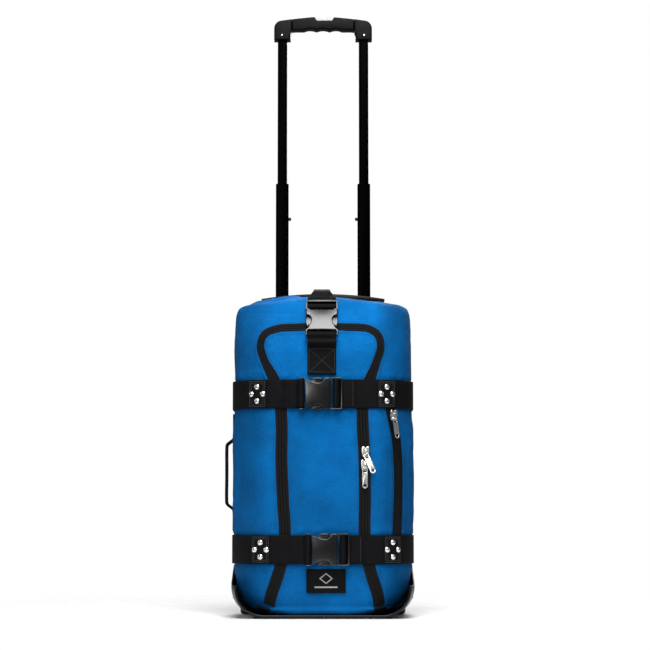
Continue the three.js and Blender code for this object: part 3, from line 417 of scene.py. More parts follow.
EMBLEM = moulded("emblem_grey", linear(150, 151, 153), (0.45, 0.6), 1200.0, 0.00004)


# ---------------------------------------------------------------- mesh helpers
def new_piece(name, vertices, faces, look, smooth=True, uvs=None):
    mesh = bpy.data.meshes.new(name)
    mesh.from_pydata([tuple(v) for v in vertices], [], faces)
    if uvs is not None:
        layer = mesh.uv_layers.new(name="UVMap")
        corner = np.zeros(len(mesh.loops), np.int32)
        mesh.loops.foreach_get("vertex_index", corner)
        layer.data.foreach_set("uv", np.array(uvs, np.float32)[corner].ravel())
    mesh.update()
    piece = bpy.data.objects.new(name, mesh)
    bpy.context.scene.collection.objects.link(piece)
    if look is not None:
        mesh.materials.append(look)
    face_outwards(piece)
    for polygon in mesh.polygons:
        polygon.use_smooth = smooth
    return piece


@contextmanager
def edited(mesh):
    """The mesh opened for editing, and written back at the end of the block."""
    bm = bmesh.new()
    bm.from_mesh(mesh)
    yield bm
    bm.to_mesh(mesh)
    bm.free()


def face_outwards(piece):
    with edited(piece.data) as bm:
        bmesh.ops.recalc_face_normals(bm, faces=bm.faces)


def ring_faces(rows, count, closed_rings=True, caps=True, closed_rows=False):
    """Faces that join rows of count points each."""
    faces = []
    span = count if closed_rings else count - 1
    for r in range(rows if closed_rows else rows - 1):
        here, there = r * count, ((r + 1) % rows) * count
        for i in range(span):
            j = (i + 1) % count
            faces.append((here + i, here + j, there + j, there + i))
    if caps and not closed_rows:
        faces.append(tuple(range(count)))
        faces.append(tuple(range((rows - 1) * count, rows * count)))
    return faces


def loft(name, rings, look, **options):
    count = len(rings[0])
    vertices = [p for ring in rings for p in ring]
    return new_piece(name, vertices, ring_faces(len(rings), count, **options), look)


def apply_modifiers(piece):
    graph = bpy.context.evaluated_depsgraph_get()
    done = bpy.data.meshes.new_from_object(piece.evaluated_get(graph))
    old = piece.data
    piece.modifiers.clear()
    piece.data = done
    done.name = piece.name
    if old.users == 0:
        bpy.data.meshes.remove(old)
    return piece


def sharp_edges_shading(piece, degrees=35):
    """Smooth shading that keeps edges sharper than the angle crisp."""
    with edited(piece.data) as bm:
        limit = math.radians(degrees)
        for edge in bm.edges:
            edge.smooth = not (len(edge.link_faces) == 2 and edge.calc_face_angle(0) > limit)
        for face in bm.faces:
            face.smooth = True
    return piece


def bevelled(piece, width, segments=3, degrees=32):
    """Rounds the hard edges of a piece and shades it smoothly."""
    with edited(piece.data) as bm:
        bmesh.ops.remove_doubles(bm, verts=bm.verts, dist=0.02 * MM)
        bmesh.ops.dissolve_limit(bm, angle_limit=math.radians(1.5), verts=bm.verts, edges=bm.edges)
    bevel = piece.modifiers.new("rounding", "BEVEL")
    bevel.width = width
    bevel.segments = segments
    bevel.limit_method = "ANGLE"
    bevel.angle_limit = math.radians(degrees)
    bevel.use_clamp_overlap = True
    apply_modifiers(piece)
    return sharp_edges_shading(piece, 50)


def copy_of(node, name, look):
    """A new piece with the shape of a CAD node, free to be refined."""
    piece = bpy.data.objects.new(name, frame["nodes"][node].data.copy())
    bpy.context.scene.collection.objects.link(piece)
    piece.data.materials.clear()
    piece.data.materials.append(look)
    return piece


def place(piece, body, slot, *nodes):
    """Rides a finished piece on its body and hides the CAD nodes it stands for; the finish slot is not used.
    """
    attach(piece, body)
    if nodes:
        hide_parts(*nodes)
    return piece


def join(name, pieces):
    """Joins pieces into the first one and renames it."""
    with bpy.context.temp_override(
        active_object=pieces[0], selected_objects=pieces, selected_editable_objects=pieces
    ):
        bpy.ops.object.join()
    pieces[0].name = name
    pieces[0].data.name = name
    return pieces[0]


def combine(piece, other, operation):
    boolean = piece.modifiers.new("cut", "BOOLEAN")
    boolean.operation = operation
    boolean.solver = "EXACT"
    boolean.object = other
    apply_modifiers(piece)


def cut_away(piece, cutters):
    """Subtracts closed pieces from a piece, and removes them."""
    for cutter in cutters:
        combine(piece, cutter, "DIFFERENCE")
        bpy.data.objects.remove(cutter)
    return piece


def plate(name, loops, low, high, bevel, look, matrix=None, resolution=3):
    """A flat plate with rounded edges, from 2D loops: the outline first and then its holes."""
    curve = bpy.data.curves.new(name, "CURVE")
    curve.dimensions = "2D"
    curve.fill_mode = "BOTH"
    curve.bevel_depth = bevel
    curve.bevel_resolution = resolution
    curve.extrude = (high - low) / 2 - bevel
    curve.offset = -bevel
    for points in loops:
        spline = curve.splines.new("POLY")
        spline.points.add(len(points) - 1)
        for point, (x, y) in zip(spline.points, points):
            point.co = (x, y, 0, 1)
        spline.use_cyclic_u = True
    holder = bpy.data.objects.new(name, curve)
    bpy.context.scene.collection.objects.link(holder)
    graph = bpy.context.evaluated_depsgraph_get()
    mesh = bpy.data.meshes.new_from_object(holder.evaluated_get(graph))
    bpy.data.objects.remove(holder)
    bpy.data.curves.remove(curve)
    mesh.transform(Matrix.Translation((0, 0, (low + high) / 2)))
    if matrix is not None:
        mesh.transform(matrix)
    mesh.name = name
    mesh.materials.clear()
    mesh.materials.append(look)
    piece = bpy.data.objects.new(name, mesh)
    bpy.context.scene.collection.objects.link(piece)
    with edited(mesh) as bm:
        bmesh.ops.remove_doubles(bm, verts=bm.verts, dist=0.01 * MM)
        bmesh.ops.recalc_face_normals(bm, faces=bm.faces)
    return sharp_edges_shading(piece, 40)


def rounded_rect(width, height, radius, steps=6, x=0.0, y=0.0):
    w, h = width / 2 - radius, height / 2 - radius
    points = arc(w, h, radius, 0, 90, steps) + arc(-w, h, radius, 90, 180, steps)
    points += arc(-w, -h, radius, 180, 270, steps) + arc(w, -h, radius, 270, 360, steps)
    return [(px + x, py + y) for px, py in points]


def lathe(name, profile, matrix, look, segments=48):
    """Spins [radius, height] points about local Z; the profile starts and ends on the axis or closes."""
    on_axis = profile[0][0] < 1e-9
    body = profile[1:-1] if on_axis else profile
    rings = []
    for i in range(segments):
        a = 2 * math.pi * i / segments
        rings.append([(r * math.cos(a), r * math.sin(a), h) for r, h in body])
    vertices = [p for ring in rings for p in ring]
    count = len(body)
    faces = ring_faces(segments, count, closed_rings=not on_axis, closed_rows=True)
    if on_axis:
        vertices += [(0, 0, profile[0][1]), (0, 0, profile[-1][1])]
        first, last = len(vertices) - 2, len(vertices) - 1
        for i in range(segments):
            here, there = i * count, ((i + 1) % segments) * count
            faces += [(first, here, there), (last, there + count - 1, here + count - 1)]
    piece = new_piece(name, vertices, faces, look)
    piece.data.transform(matrix)
    face_outwards(piece)
    return sharp_edges_shading(piece, 40)


# ---------------------------------------------------------------- webbing, tape and stitches
def band(name, path, side, width, thick, look, out=None, taper=None, thickness=None):
    """A flat strap with rounded edges along a path. side is the direction of its width.

    out gives the strap's upward direction at each point; without it, it is worked out from the path.
    taper and thickness, if given, are each a factor per point.
    """
    path = [Vector(p) for p in path]
    count = len(path)
    edge = [(width / 2 - thick / 2, a) for a in (90, 60, 30, 0, -30, -60, -90)]
    turns = [(x, math.radians(a)) for x, a in edge]
    profile = [(x + thick / 2 * math.cos(a), thick / 2 * math.sin(a)) for x, a in turns]
    flat = [width * f for f in (0.36, 0.24, 0.12, 0, -0.12, -0.24, -0.36)]
    profile += [(x, -thick / 2) for x in flat]
    profile += [(-x, -h) for x, h in profile[:7]]
    profile += [(-x, thick / 2) for x in flat]
    vertices, uvs, run = [], [], 0.0
    for i, point in enumerate(path):
        along = (path[min(i + 1, count - 1)] - path[max(i - 1, 0)]).normalized()
        across = (side[i] if isinstance(side, list) else side).normalized()
        up = out[i] if out is not None else across.cross(along).normalized()
        run += (point - path[i - 1]).length if i else 0.0
        wide = taper[i] if taper is not None else 1.0
        deep = thickness[i] if thickness is not None else 1.0
        for x, h in profile:
            vertices.append(point + across * (x * wide) + up * (h * deep))
            uvs.append((x / width + 0.5, run / width))
    return new_piece(name, vertices, ring_faces(count, len(profile)), look, uvs=uvs)


def stitches(name, lines, colour, pitch=3.2 * MM, length=2.3 * MM, radius=0.27 * MM):
    """Rows of small raised threads. Each line is (points, normal or list of normals)."""
    vertices, faces = [], []
    for points, normals in lines:
        points = np.array([tuple(p) for p in points], float)
        total = np.linalg.norm(np.diff(points, axis=0), axis=1).sum()
        count = max(2, int(total / pitch))
        places = resample(points, count * 2 + 1)
        if isinstance(normals, list):
            up_line = resample(np.array([tuple(n) for n in normals], float), count * 2 + 1)
        else:
            up_line = np.tile(np.array(tuple(normals), float), (count * 2 + 1, 1))
        for k in range(count):
            middle = Vector(places[2 * k + 1])
            along = Vector(places[2 * k + 2] - places[2 * k]).normalized()
            up = Vector(up_line[2 * k + 1]).normalized()
            across = up.cross(along).normalized()
            base = len(vertices)
            for end in (-1, -0.6, 0, 0.6, 1):
                girth = radius * (0.35 if abs(end) == 1 else 1)
                sink = radius * (0.9 if abs(end) == 1 else 0)
                spot = middle + along * (end * length / 2) - up * sink
                for a in range(6):
                    angle = math.pi * a / 3
                    vertices.append(spot + across * (girth * math.cos(angle)) + up * (girth * math.sin(angle)))
            faces += [tuple(base + i for i in face) for face in ring_faces(5, 6)]
    return new_piece(name, vertices, faces, THREADS[colour])


def tape_on_front(name, line, widths, profile, look, lift=0.0):
    """A tape that follows the front surface along x, z points. profile: (across from -1 to 1, height)."""
    vertices, uvs, run = [], [], 0.0
    last = len(line) - 1
    for i, (x, z) in enumerate(line):
        point, normal = on_front(x, z)
        before = on_front(*line[max(i - 1, 0)])[0]
        after = on_front(*line[min(i + 1, last)])[0]
        along = (after - before).normalized()
        across = normal.cross(along)
        run += (point - on_front(*line[i - 1])[0]).length if i else 0.0
        for u, height in profile:
            beside = point + across * (u * widths[i] / 2)
            spot, up = on_front(beside.x, beside.z)
            vertices.append(spot + up * (height + lift))
            uvs.append((u / 2 + 0.5, run / widths[0]))
    return new_piece(name, vertices, ring_faces(len(line), len(profile)), look, uvs=uvs)


def surface_frame(x, z, lift=0.0, turn=0.0):
    """A matrix on the front surface: X right, Y up the surface, Z outwards."""
    point, normal = on_front(x, z)
    right = UP.cross(normal).normalized()
    up = normal.cross(right)
    basis = Matrix((right, up, normal)).transposed().to_4x4()
    return Matrix.Translation(point + normal * lift) @ basis @ Matrix.Rotation(math.radians(turn), 4, "Z")


# ---------------------------------------------------------------- camera, light and floor
def add_camera():
    """A long lens from just above the floor, tilted up a little, with no shift."""
    camera = bpy.data.objects.new("camera", bpy.data.cameras.new("camera"))
    bpy.context.scene.collection.objects.link(camera)
    camera.data.lens = 113.46
    camera.data.sensor_width = 36
    camera.location = (3.6 * MM, -3665.7 * MM, 180.2 * MM)
    camera.rotation_euler = (math.radians(90 + 5.277), 0, 0)
    bpy.context.scene.camera = camera


def area_light(name, place, target, size, power, colour=(1, 1, 1)):
    light = bpy.data.lights.new(name, "AREA")
    light.shape = "RECTANGLE"
    light.size, light.size_y = size
    light.energy = power
    light.color = colour
    holder = bpy.data.objects.new(name, light)
    holder.location = place
    holder.rotation_euler = (Vector(target) - Vector(place)).to_track_quat("-Z", "Y").to_euler()
    bpy.context.scene.collection.objects.link(holder)


def add_studio():
    area_light("key", (0.2, -1.7, 1.8), (0, 0, 0.42), (0.9, 0.9), 27)
    area_light("top", (0.0, -1.15, 2.5), (0, 0, 0.5), (1.4, 0.9), 48)
    area_light("strip", (-0.6, -3.0, 0.95), (0, 0, 0.4), (0.35, 0.8), 17)
    area_light("side", (-2.6, 0.2, 1.2), (0, 0, 0.45), (1.0, 1.8), 9)
    area_light("back", (0.6, 2.4, 1.9), (0, 0, 0.5), (1.6, 1.4), 42)
    world = bpy.data.worlds.new("studio")
    bpy.context.scene.world = world
    world.use_nodes = True
    tree = world.node_tree
    seen = tree.nodes["Background"]
    seen.inputs["Color"].default_value = (1, 1, 1, 1)
    seen.inputs["Strength"].default_value = 1.0
    soft = tree.nodes.new("ShaderNodeBackground")
    soft.inputs["Color"].default_value = (0.93, 0.96, 1.0, 1)
    path = tree.nodes.new("ShaderNodeLightPath")
    level = tree.nodes.new("ShaderNodeMapRange")
    level.inputs["To Min"].default_value = 0.14
    level.inputs["To Max"].default_value = 0.18
    tree.links.new(path.outputs["Is Glossy Ray"], level.inputs["Value"])
    tree.links.new(level.outputs["Result"], soft.inputs["Strength"])
    mix = tree.nodes.new("ShaderNodeMixShader")
    tree.links.new(path.outputs["Is Camera Ray"], mix.inputs[0])
    tree.links.new(soft.outputs[0], mix.inputs[1])
    tree.links.new(seen.outputs[0], mix.inputs[2])
    tree.links.new(mix.outputs[0], tree.nodes["World Output"].inputs["Surface"])


def add_floor():
    """A pale round floor that fades out into the white background."""
    m = Material("floor")
    m.material.surface_render_method = "BLENDED"
    distance = m.node("ShaderNodeVectorMath", {0: m.coords.outputs["Object"]}, operation="LENGTH")
    fade = m.fade(distance.outputs["Value"], 0.35, 1.15, 1.0, 0.0)
    look = m.finish(Base_Color=(0.93, 0.93, 0.93, 1), Roughness=0.8, Alpha=fade)
    sides = 144
    ring = arc(0, 0, 1.2, 0, 360 - 360 / sides, sides - 1)
    corners = [(0, 0, 0)] + [(x, y, 0) for x, y in ring]
    floor = new_piece("floor", corners, [(0, i, i % sides + 1) for i in range(1, sides + 1)], look)


# ---------------------------------------------------------------- zip lines, in mm, seen from the front
MAIN_ZIP = [
    (-93, 24), (-89.5, 40), (-81, 66), (-72, 96), (-66, 147), (-69, 200), (-72, 270), (-72, 340),
    (-77, 390), (-88, 420), (-102, 448), (-109, 474), (-102, 494), (-80, 504), (-40, 507), (0, 508),
    (40, 507), (78, 504.5), (95, 494), (101, 475), (94, 447), (82, 415), (70, 380), (69, 345),
    (72, 280), (73, 205), (72.5, 147), (79, 96), (87, 66), (94.5, 42), (97.5, 24),
]
POCKET_ZIP = [
    (115, 380), (118, 361), (126.5, 318), (130.5, 271), (130.5, 206), (128.5, 150), (127.5, 130),
]
main_zip_line = catmull(np.array(MAIN_ZIP) * MM, 260)
pocket_zip_line = catmull(np.array(POCKET_ZIP) * MM, 60)
TAPE_WIDTH = 21 * MM
TAPE_WIDTH_AT_TOP = 13.5 * MM
POCKET_TAPE_WIDTH = 19 * MM


def main_tape_width(z):
    return TAPE_WIDTH + (TAPE_WIDTH_AT_TOP - TAPE_WIDTH) * smooth_step((z - 400 * MM) / (52 * MM))


def distance_to_line(x, z, line):
    """The distance from many x, z places to a line, and how far along it the nearest place is."""
    best = np.full(len(x), 9.0)
    where = np.zeros(len(x))
    run = 0.0
    for (ax, az), (bx, bz) in zip(line, line[1:]):
        dx, dz = bx - ax, bz - az
        span = math.hypot(dx, dz)
        t = np.clip(((x - ax) * dx + (z - az) * dz) / span**2, 0, 1)
        gap = np.hypot(x - ax - t * dx, z - az - t * dz)
        nearer = gap < best
        best = np.where(nearer, gap, best)
        where = np.where(nearer, run + t * span, where)
        run += span
    return best, where


# ---------------------------------------------------------------- the fabric body
PATCH_X = 5.4 * MM
PATCH_Z = 65 * MM
CUP_ROOM = Vector((100.6 * MM, 51.5 * MM, 530.4 * MM))


def noise_values(points, scale, seed, octaves=2):
    offset = Vector((seed * 7.31, seed * 3.17, seed * 1.73))
    return np.array([noise.fractal(Vector(p) * scale + offset, 1.0, 2.0, octaves) for p in points])


def read_points(mesh):
    points = np.zeros(len(mesh.vertices) * 3)
    mesh.vertices.foreach_get("co", points)
    return points.reshape(-1, 3)


def write_points(mesh, points):
    mesh.vertices.foreach_set("co", np.ascontiguousarray(points).ravel())
    mesh.update()


def read_normals(mesh):
    normals = np.zeros(len(mesh.vertices) * 3)
    mesh.vertices.foreach_get("normal", normals)
    return normals.reshape(-1, 3)


def band_of(value, middle, half, soft):
    """1 inside middle +- half, fading to 0 over soft outside it."""
    return smooth_step((half + soft - np.abs(value - middle)) / soft)


def held_down(points):
    """How firmly each point of the body is held: 1 at seams, straps, the tray and the back."""
    x, y, z = points.T
    facing = smooth_step((-10 * MM - y) / (20 * MM))
    to_main, _ = distance_to_line(x, z, main_zip_line)
    to_pocket, _ = distance_to_line(x, z, pocket_zip_line)
    hold = smooth_step((24 * MM - to_main) / (12 * MM)) * facing
    hold = np.maximum(hold, smooth_step((22 * MM - to_pocket) / (10 * MM)) * facing)
    for height in STRAP_Z.values():
        hold = np.maximum(hold, band_of(z, height, 22 * MM, 12 * MM))
    up_the_middle = band_of(x, -2 * MM, 26 * MM, 10 * MM) * smooth_step((z - 410 * MM) / (15 * MM))
    hold = np.maximum(hold, up_the_middle * (y < 50 * MM))
    hold = np.maximum(hold, smooth_step((y - 66 * MM) / (12 * MM)))
    hold = np.maximum(hold, smooth_step((54 * MM - z) / (20 * MM)))
    hold = np.maximum(hold, 0.6 * smooth_step((z - 540 * MM) / (12 * MM)))
    at_handle = band_of(y, 5 * MM, 20 * MM, 12 * MM) * (x < -140 * MM)
    hold = np.maximum(hold, at_handle * band_of(z, 252 * MM, 106 * MM, 14 * MM))
    bezel = band_of(x, 0, 114 * MM, 12 * MM) * (y > 34 * MM) * (z > 540 * MM)
    patch = band_of(x, PATCH_X, 34 * MM, 10 * MM) * band_of(z, PATCH_Z, 21 * MM, 10 * MM)
    return np.maximum(np.maximum(hold, bezel), patch)


LOOSE_TOP_RISE = 5.5 * MM
SIDE_BULGE = 4.5 * MM
TOE_REACH = 9 * MM
TOE_DROP = 2.4 * MM


def fabric_details(points, normals):
    """Moves the points along their normals: seams at the zips, puckers at the straps, pleats and creases."""
    x, y, z = points.T
    facing = smooth_step((-20 * MM - y) / (20 * MM))
    move = 1.5 * MM * noise_values(points, 16, 1) + 0.5 * MM * noise_values(points, 60, 2)
    for line, width, seed in (
        (main_zip_line, main_tape_width(z), 3), (pocket_zip_line, POCKET_TAPE_WIDTH, 4)
    ):
        gap, run = distance_to_line(x, z, line)
        off = (gap - width / 2) / MM
        move += facing * 0.9 * MM * np.exp(-(((off - 2.2) / 2.0) ** 2))
        move -= facing * 0.7 * MM * np.exp(-(((off - 6.2) / 1.3) ** 2))
        gathers = np.sin(run / (6.5 * MM) + 3 * np.sin(run / (31 * MM) + seed))
        move += facing * 0.45 * MM * gathers * np.exp(-(((off - 9) / 6) ** 2))
    around = np.hypot(x, y)
    for height, seed in zip(STRAP_Z.values(), (5, 6)):
        beyond = (np.abs(z - height) - WEB_WIDTH / 2) / MM
        waves = np.sin((x + y) / (5.2 * MM) + 4 * np.sin((x - y) / (43 * MM) + seed) + seed * 2)
        near_edge = np.exp(-(((beyond - 5) / 5.5) ** 2)) * (around > 60 * MM)
        move += 0.75 * MM * waves * near_edge
        move += 0.8 * MM * np.exp(-(((beyond - 7) / 7) ** 2))
        move -= 1.0 * MM * smooth_step((2 - beyond) / 4)
    crease = np.exp(-(((z - 534 * MM + 0.05 * (x + 88 * MM)) / (1.6 * MM)) ** 2))
    move -= 1.7 * MM * crease * band_of(x, -88 * MM, 34 * MM, 14 * MM) * (y < 20 * MM)
    for side, strength in ((-1, 1.0), (1, 0.55)):
        pleat = np.exp(-(((x - side * (100 * MM + 0.10 * (85 * MM - z))) / (2.6 * MM)) ** 2))
        move -= strength * 2.2 * MM * pleat * band_of(z, 66 * MM, 18 * MM, 10 * MM) * facing
    bottom_seam = np.exp(-(((z - (17 * MM + 0.9 * x * x)) / (2 * MM)) ** 2))
    move -= 0.9 * MM * bottom_seam * facing
    back_seam = np.exp(-(((y - 60 * MM) / (1.6 * MM)) ** 2)) * (np.abs(x) > 120 * MM)
    move -= 1.1 * MM * back_seam
    move += 0.8 * MM * np.exp(-(((y - 63.5 * MM) / (2 * MM)) ** 2)) * (np.abs(x) > 120 * MM)
    under = (y > 82 * MM) & (np.abs(x) < 147 * MM)
    for line, width in ((main_zip_line, main_tape_width(z)), (pocket_zip_line, POCKET_TAPE_WIDTH)):
        gap, _ = distance_to_line(x, z, line)
        under |= (y < -10 * MM) & (gap < width / 2 + 0.3 * MM)
    under |= (np.abs(x - PATCH_X) < 35 * MM) & (np.abs(z - PATCH_Z) < 22 * MM) & (y < 0)
    move = np.where(under, np.minimum(move, 0) - 0.3 * MM, move)
    for height in STRAP_Z.values():
        move = np.where(np.abs(z - height) < WEB_WIDTH / 2, np.minimum(move, 1.0 * MM), move)
    moved = points + normals * move[:, None]
    loose_top = band_of(x, -84 * MM, 30 * MM, 26 * MM) * band_of(y, 24 * MM, 12 * MM, 20 * MM)
    moved[:, 2] += LOOSE_TOP_RISE * loose_top * (z > 545 * MM)
    low = smooth_step((22 * MM - z) / (8 * MM)) * (y < -40 * MM)
    moved[:, 1] -= TOE_REACH * low
    belly = band_of(z, 248 * MM, 70 * MM, 60 * MM) * band_of(y, -38 * MM, 16 * MM, 12 * MM)
    belly *= smooth_step((np.abs(x) - 142 * MM) / (9 * MM))
    moved[:, 0] += SIDE_BULGE * np.sign(x) * belly
    moved[:, 2] -= TOE_DROP * smooth_step((14 * MM - z) / (6 * MM))
    return moved


def inflate(piece, cap):
    """Swells the piece with cloth pressure, held where straps, zips and boards hold it."""
    rest = read_points(piece.data)
    firm = held_down(rest)
    group = piece.vertex_groups.new(name="held")
    for i, weight in enumerate(firm):
        group.add([i], float(weight), "REPLACE")
    cloth = piece.modifiers.new("cloth", "CLOTH")
    settings = cloth.settings
    settings.quality = 5
    settings.mass = 0.3
    settings.tension_stiffness = 18
    settings.compression_stiffness = 18
    settings.shear_stiffness = 8
    settings.bending_stiffness = 0.6
    settings.vertex_group_mass = "held"
    settings.use_pressure = True
    settings.uniform_pressure_force = 9
    settings.effector_weights.gravity = 0
    cloth.point_cache.frame_start = 1
    cloth.point_cache.frame_end = 20
    for number in range(1, 21):
        bpy.context.scene.frame_set(number)
    apply_modifiers(piece)
    moved = read_points(piece.data) - rest
    bpy.context.scene.frame_set(1)
    far = np.linalg.norm(moved, axis=1, keepdims=True)
    moved *= cap * np.tanh(far / cap) / np.maximum(far, 1e-9)
    write_points(piece.data, rest + moved * (1 - firm[:, None]))


def make_body():
    levels = [BODY_BOTTOM + (BODY_TOP - 0.5 * MM - BODY_BOTTOM) * t for t in np.linspace(0, 1, 90)]
    levels += [BODY_TOP - d * MM for d in (24, 18, 13, 9, 6, 4, 2.5, 1.2)]
    levels += [BODY_BOTTOM + d * MM for d in (1, 2.5, 4.5)]
    rings = [[(x, y, z) for x, y in outline_at(z)] for z in sorted(levels)]
    piece = loft("bag_body", rings, LOOKS["bag_fabric"])
    remesh = piece.modifiers.new("remesh", "REMESH")
    remesh.mode = "VOXEL"
    remesh.voxel_size = 6 * MM
    apply_modifiers(piece)
    snap_to_surface(piece)
    inflate(piece, 7 * MM)
    fine = piece.modifiers.new("fine", "SUBSURF")
    fine.levels = 1
    fine.render_levels = 1
    apply_modifiers(piece)
    write_points(piece.data, fabric_details(read_points(piece.data), read_normals(piece.data)))
    open_the_top(piece)
    for polygon in piece.data.polygons:
        polygon.use_smooth = True
    return place(piece, "bag", "bag_fabric", "main_shell", "front_flap")


def snap_to_surface(piece):
    """Puts the remeshed points of the front back on the exact surface."""
    points = read_points(piece.data)
    x, y, z = points.T
    close = (y < -30 * MM) & (np.abs(x) < half_width(z) - 25 * MM) & (z > 30 * MM) & (z < 540 * MM)
    y = np.where(close, front_surface(x, z), y)
    write_points(piece.data, np.stack([x, y, z], 1))


def open_the_top(piece):
    """Cuts the opening that the handle's cup sits in, and gives the fabric a thickness."""
    with edited(piece.data) as bm:
        planes = [(Vector((s * CUP_ROOM.x, 0, 0)), RIGHT) for s in (-1, 1)]
        planes += [(Vector((0, CUP_ROOM.y, 0)), BACKWARD), (Vector((0, 0, CUP_ROOM.z)), UP)]
        for point, normal in planes:
            geometry = bm.verts[:] + bm.edges[:] + bm.faces[:]
            bmesh.ops.bisect_plane(bm, geom=geometry, dist=1e-6, plane_co=point, plane_no=normal)
        doomed = []
        for face in bm.faces:
            middle = face.calc_center_median()
            if abs(middle.x) < CUP_ROOM.x and middle.y > CUP_ROOM.y and middle.z > CUP_ROOM.z:
                doomed.append(face)
        bmesh.ops.delete(bm, geom=doomed, context="FACES")
    shell = piece.modifiers.new("thickness", "SOLIDIFY")
    shell.thickness = 1.2 * MM
    shell.offset = -1
    apply_modifiers(piece)


# ---------------------------------------------------------------- zips
def zip_profile(height):
    """Half-round coil cover on a flat tape: across from -1 to 1, height in metres."""
    top = [
        (0.985, 0.72), (0.93, 0.8), (0.56, 0.8), (0.5, 0.62),
        (0.44, 0.86), (0.34, 1.0), (0.2, 1.02), (0.09, 0.95),
    ]
    top += [(0.035, 0.78), (0.0, 0.66)]
    top += [(-u, h) for u, h in reversed(top[:-1])]
    under = [(-0.99, 0.25), (-0.5, 0.2), (0, 0.2), (0.5, 0.2), (0.99, 0.25)]
    return [(u, h * height) for u, h in top + under]


def make_zips():
    profile = zip_profile(2.1 * MM)
    widths = main_tape_width(main_zip_line[:, 1])
    main = tape_on_front("main_zip_tape", main_zip_line, widths, profile, LOOKS["zip_tape"])
    place(sharp_edges_shading(main, 60), "bag", "zip_tape", "main_zip")
    widths = np.full(len(pocket_zip_line), POCKET_TAPE_WIDTH)
    pocket = tape_on_front("pocket_zip_tape", pocket_zip_line, widths, profile, LOOKS["zip_tape"])
    place(sharp_edges_shading(pocket, 60), "bag", "zip_tape", "pocket_zip")
    lines = []
    for line, width in ((main_zip_line, main_tape_width(main_zip_line[:, 1])), (pocket_zip_line, widths)):
        for side in (-1, 1):
            lines.append(beside_line(line, side * (width / 2 + 3.4 * MM), 1.55 * MM))
    seam = stitches("zip_seam_stitches", lines, "blue", pitch=3.4 * MM)
    place(seam, "bag", "bag_fabric")


def beside_line(line, offsets, lift):
    """Points and normals on the front surface, to one side of an x, z line."""
    points, normals = [], []
    for i, (x, z) in enumerate(line):
        ax, az = line[max(i - 1, 0)]
        bx, bz = line[min(i + 1, len(line) - 1)]
        long = math.hypot(bx - ax, bz - az)
        offset = offsets[i] if hasattr(offsets, "__len__") else offsets
        spot, up = on_front(x - (bz - az) / long * offset, z + (bx - ax) / long * offset)
        points.append(spot + up * lift)
        normals.append(up)
    return points, normals


def make_zip_end_tabs():
    for word, x, z, turn in (("left", -100.8, 19, -21), ("right", 96.5, 19, 17)):
        matrix = surface_frame(x * MM, z * MM, 4.2 * MM, turn)
        fold = soften_corners([(-5.4, -0.8), (4.8, -0.2), (6, 1.4), (4.4, 2.7), (-5.4, 2.0)])
        path = [(0, y, h) for y, h in fold]
        points = [matrix @ (Vector(p) * MM) for p in path]
        across = matrix.to_3x3() @ Vector((-1, 0, 0))
        tab = band(f"zip_end_tab_{word}_folded", points, across, 22 * MM, 1.5 * MM, LOOKS["webbing"])
        place(tab, "bag", "webbing", f"zip_end_tab_{word}")


# ---------------------------------------------------------------- horizontal straps
SIDE_END = 281 * MM
BUCKLE_BACK = WEB_LIFT + WEB_THICK + 0.4 * MM
BUCKLE_X = {word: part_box(f"{word}_buckle_female")[0].x + 28.5 * MM for word in ("upper", "lower")}
SURFACE_LAYER = -1.5
SECOND_LAYER = 1.2
BAR_Z = 5.1
FEMALE_BAR_X = -23.8
MALE_BAR_X = 36.3
LOOP = 4.5
PATCHES = {
    ("upper", "left"): (97.5, 129.5),
    ("upper", "right"): (94, 126),
    ("lower", "left"): (91, 123),
    ("lower", "right"): (104, 136),
}
TAILS = {"upper": 71, "lower": 72}

FEMALE_LOOP = [(-47, SURFACE_LAYER), (-25, SURFACE_LAYER), (-21.4, -0.8), (-19.6, 1.6)]
FEMALE_LOOP += arc(FEMALE_BAR_X, BAR_Z, LOOP, -10, 170, 7)
FEMALE_LOOP += [(-29.4, 4), (-32, SECOND_LAYER + 0.4), (-35, SECOND_LAYER), (-51, SECOND_LAYER)]


def male_loop(tail):
    loop = [(tail, SECOND_LAYER + 0.5), (tail - 8, SECOND_LAYER), (45, SECOND_LAYER), (43.4, 2.3), (41.8, 5.4)]
    return loop + arc(MALE_BAR_X, BAR_Z, LOOP, 25, 180, 6) + [(32.3, 2), (34, -0.8)]


def on_outline(round_way, lift):
    """A place on the body's plan at strap height: how far round from the front middle, how far out."""
    side = -1 if round_way < 0 else 1
    s = abs(round_way)
    flat = HALF_WIDTH - FRONT_RADIUS
    bend = FRONT_RADIUS * math.pi / 2
    if s <= flat:
        return side * s, FRONT_Y - lift
    if s <= flat + bend:
        a = (s - flat) / FRONT_RADIUS
        r = FRONT_RADIUS + lift
        return side * (flat + r * math.sin(a)), FRONT_Y + FRONT_RADIUS - r * math.cos(a)
    return side * (HALF_WIDTH + lift), FRONT_Y + FRONT_RADIUS + (s - flat - bend)


def strap_line(side, start, end, lift, steps=40):
    return [on_outline(side * (start + (end - start) * i / steps), lift) for i in range(steps + 1)]


def outward(round_way):
    here, there = on_outline(round_way, 0), on_outline(round_way, 1)
    return Vector((there[0] - here[0], there[1] - here[1], 0))


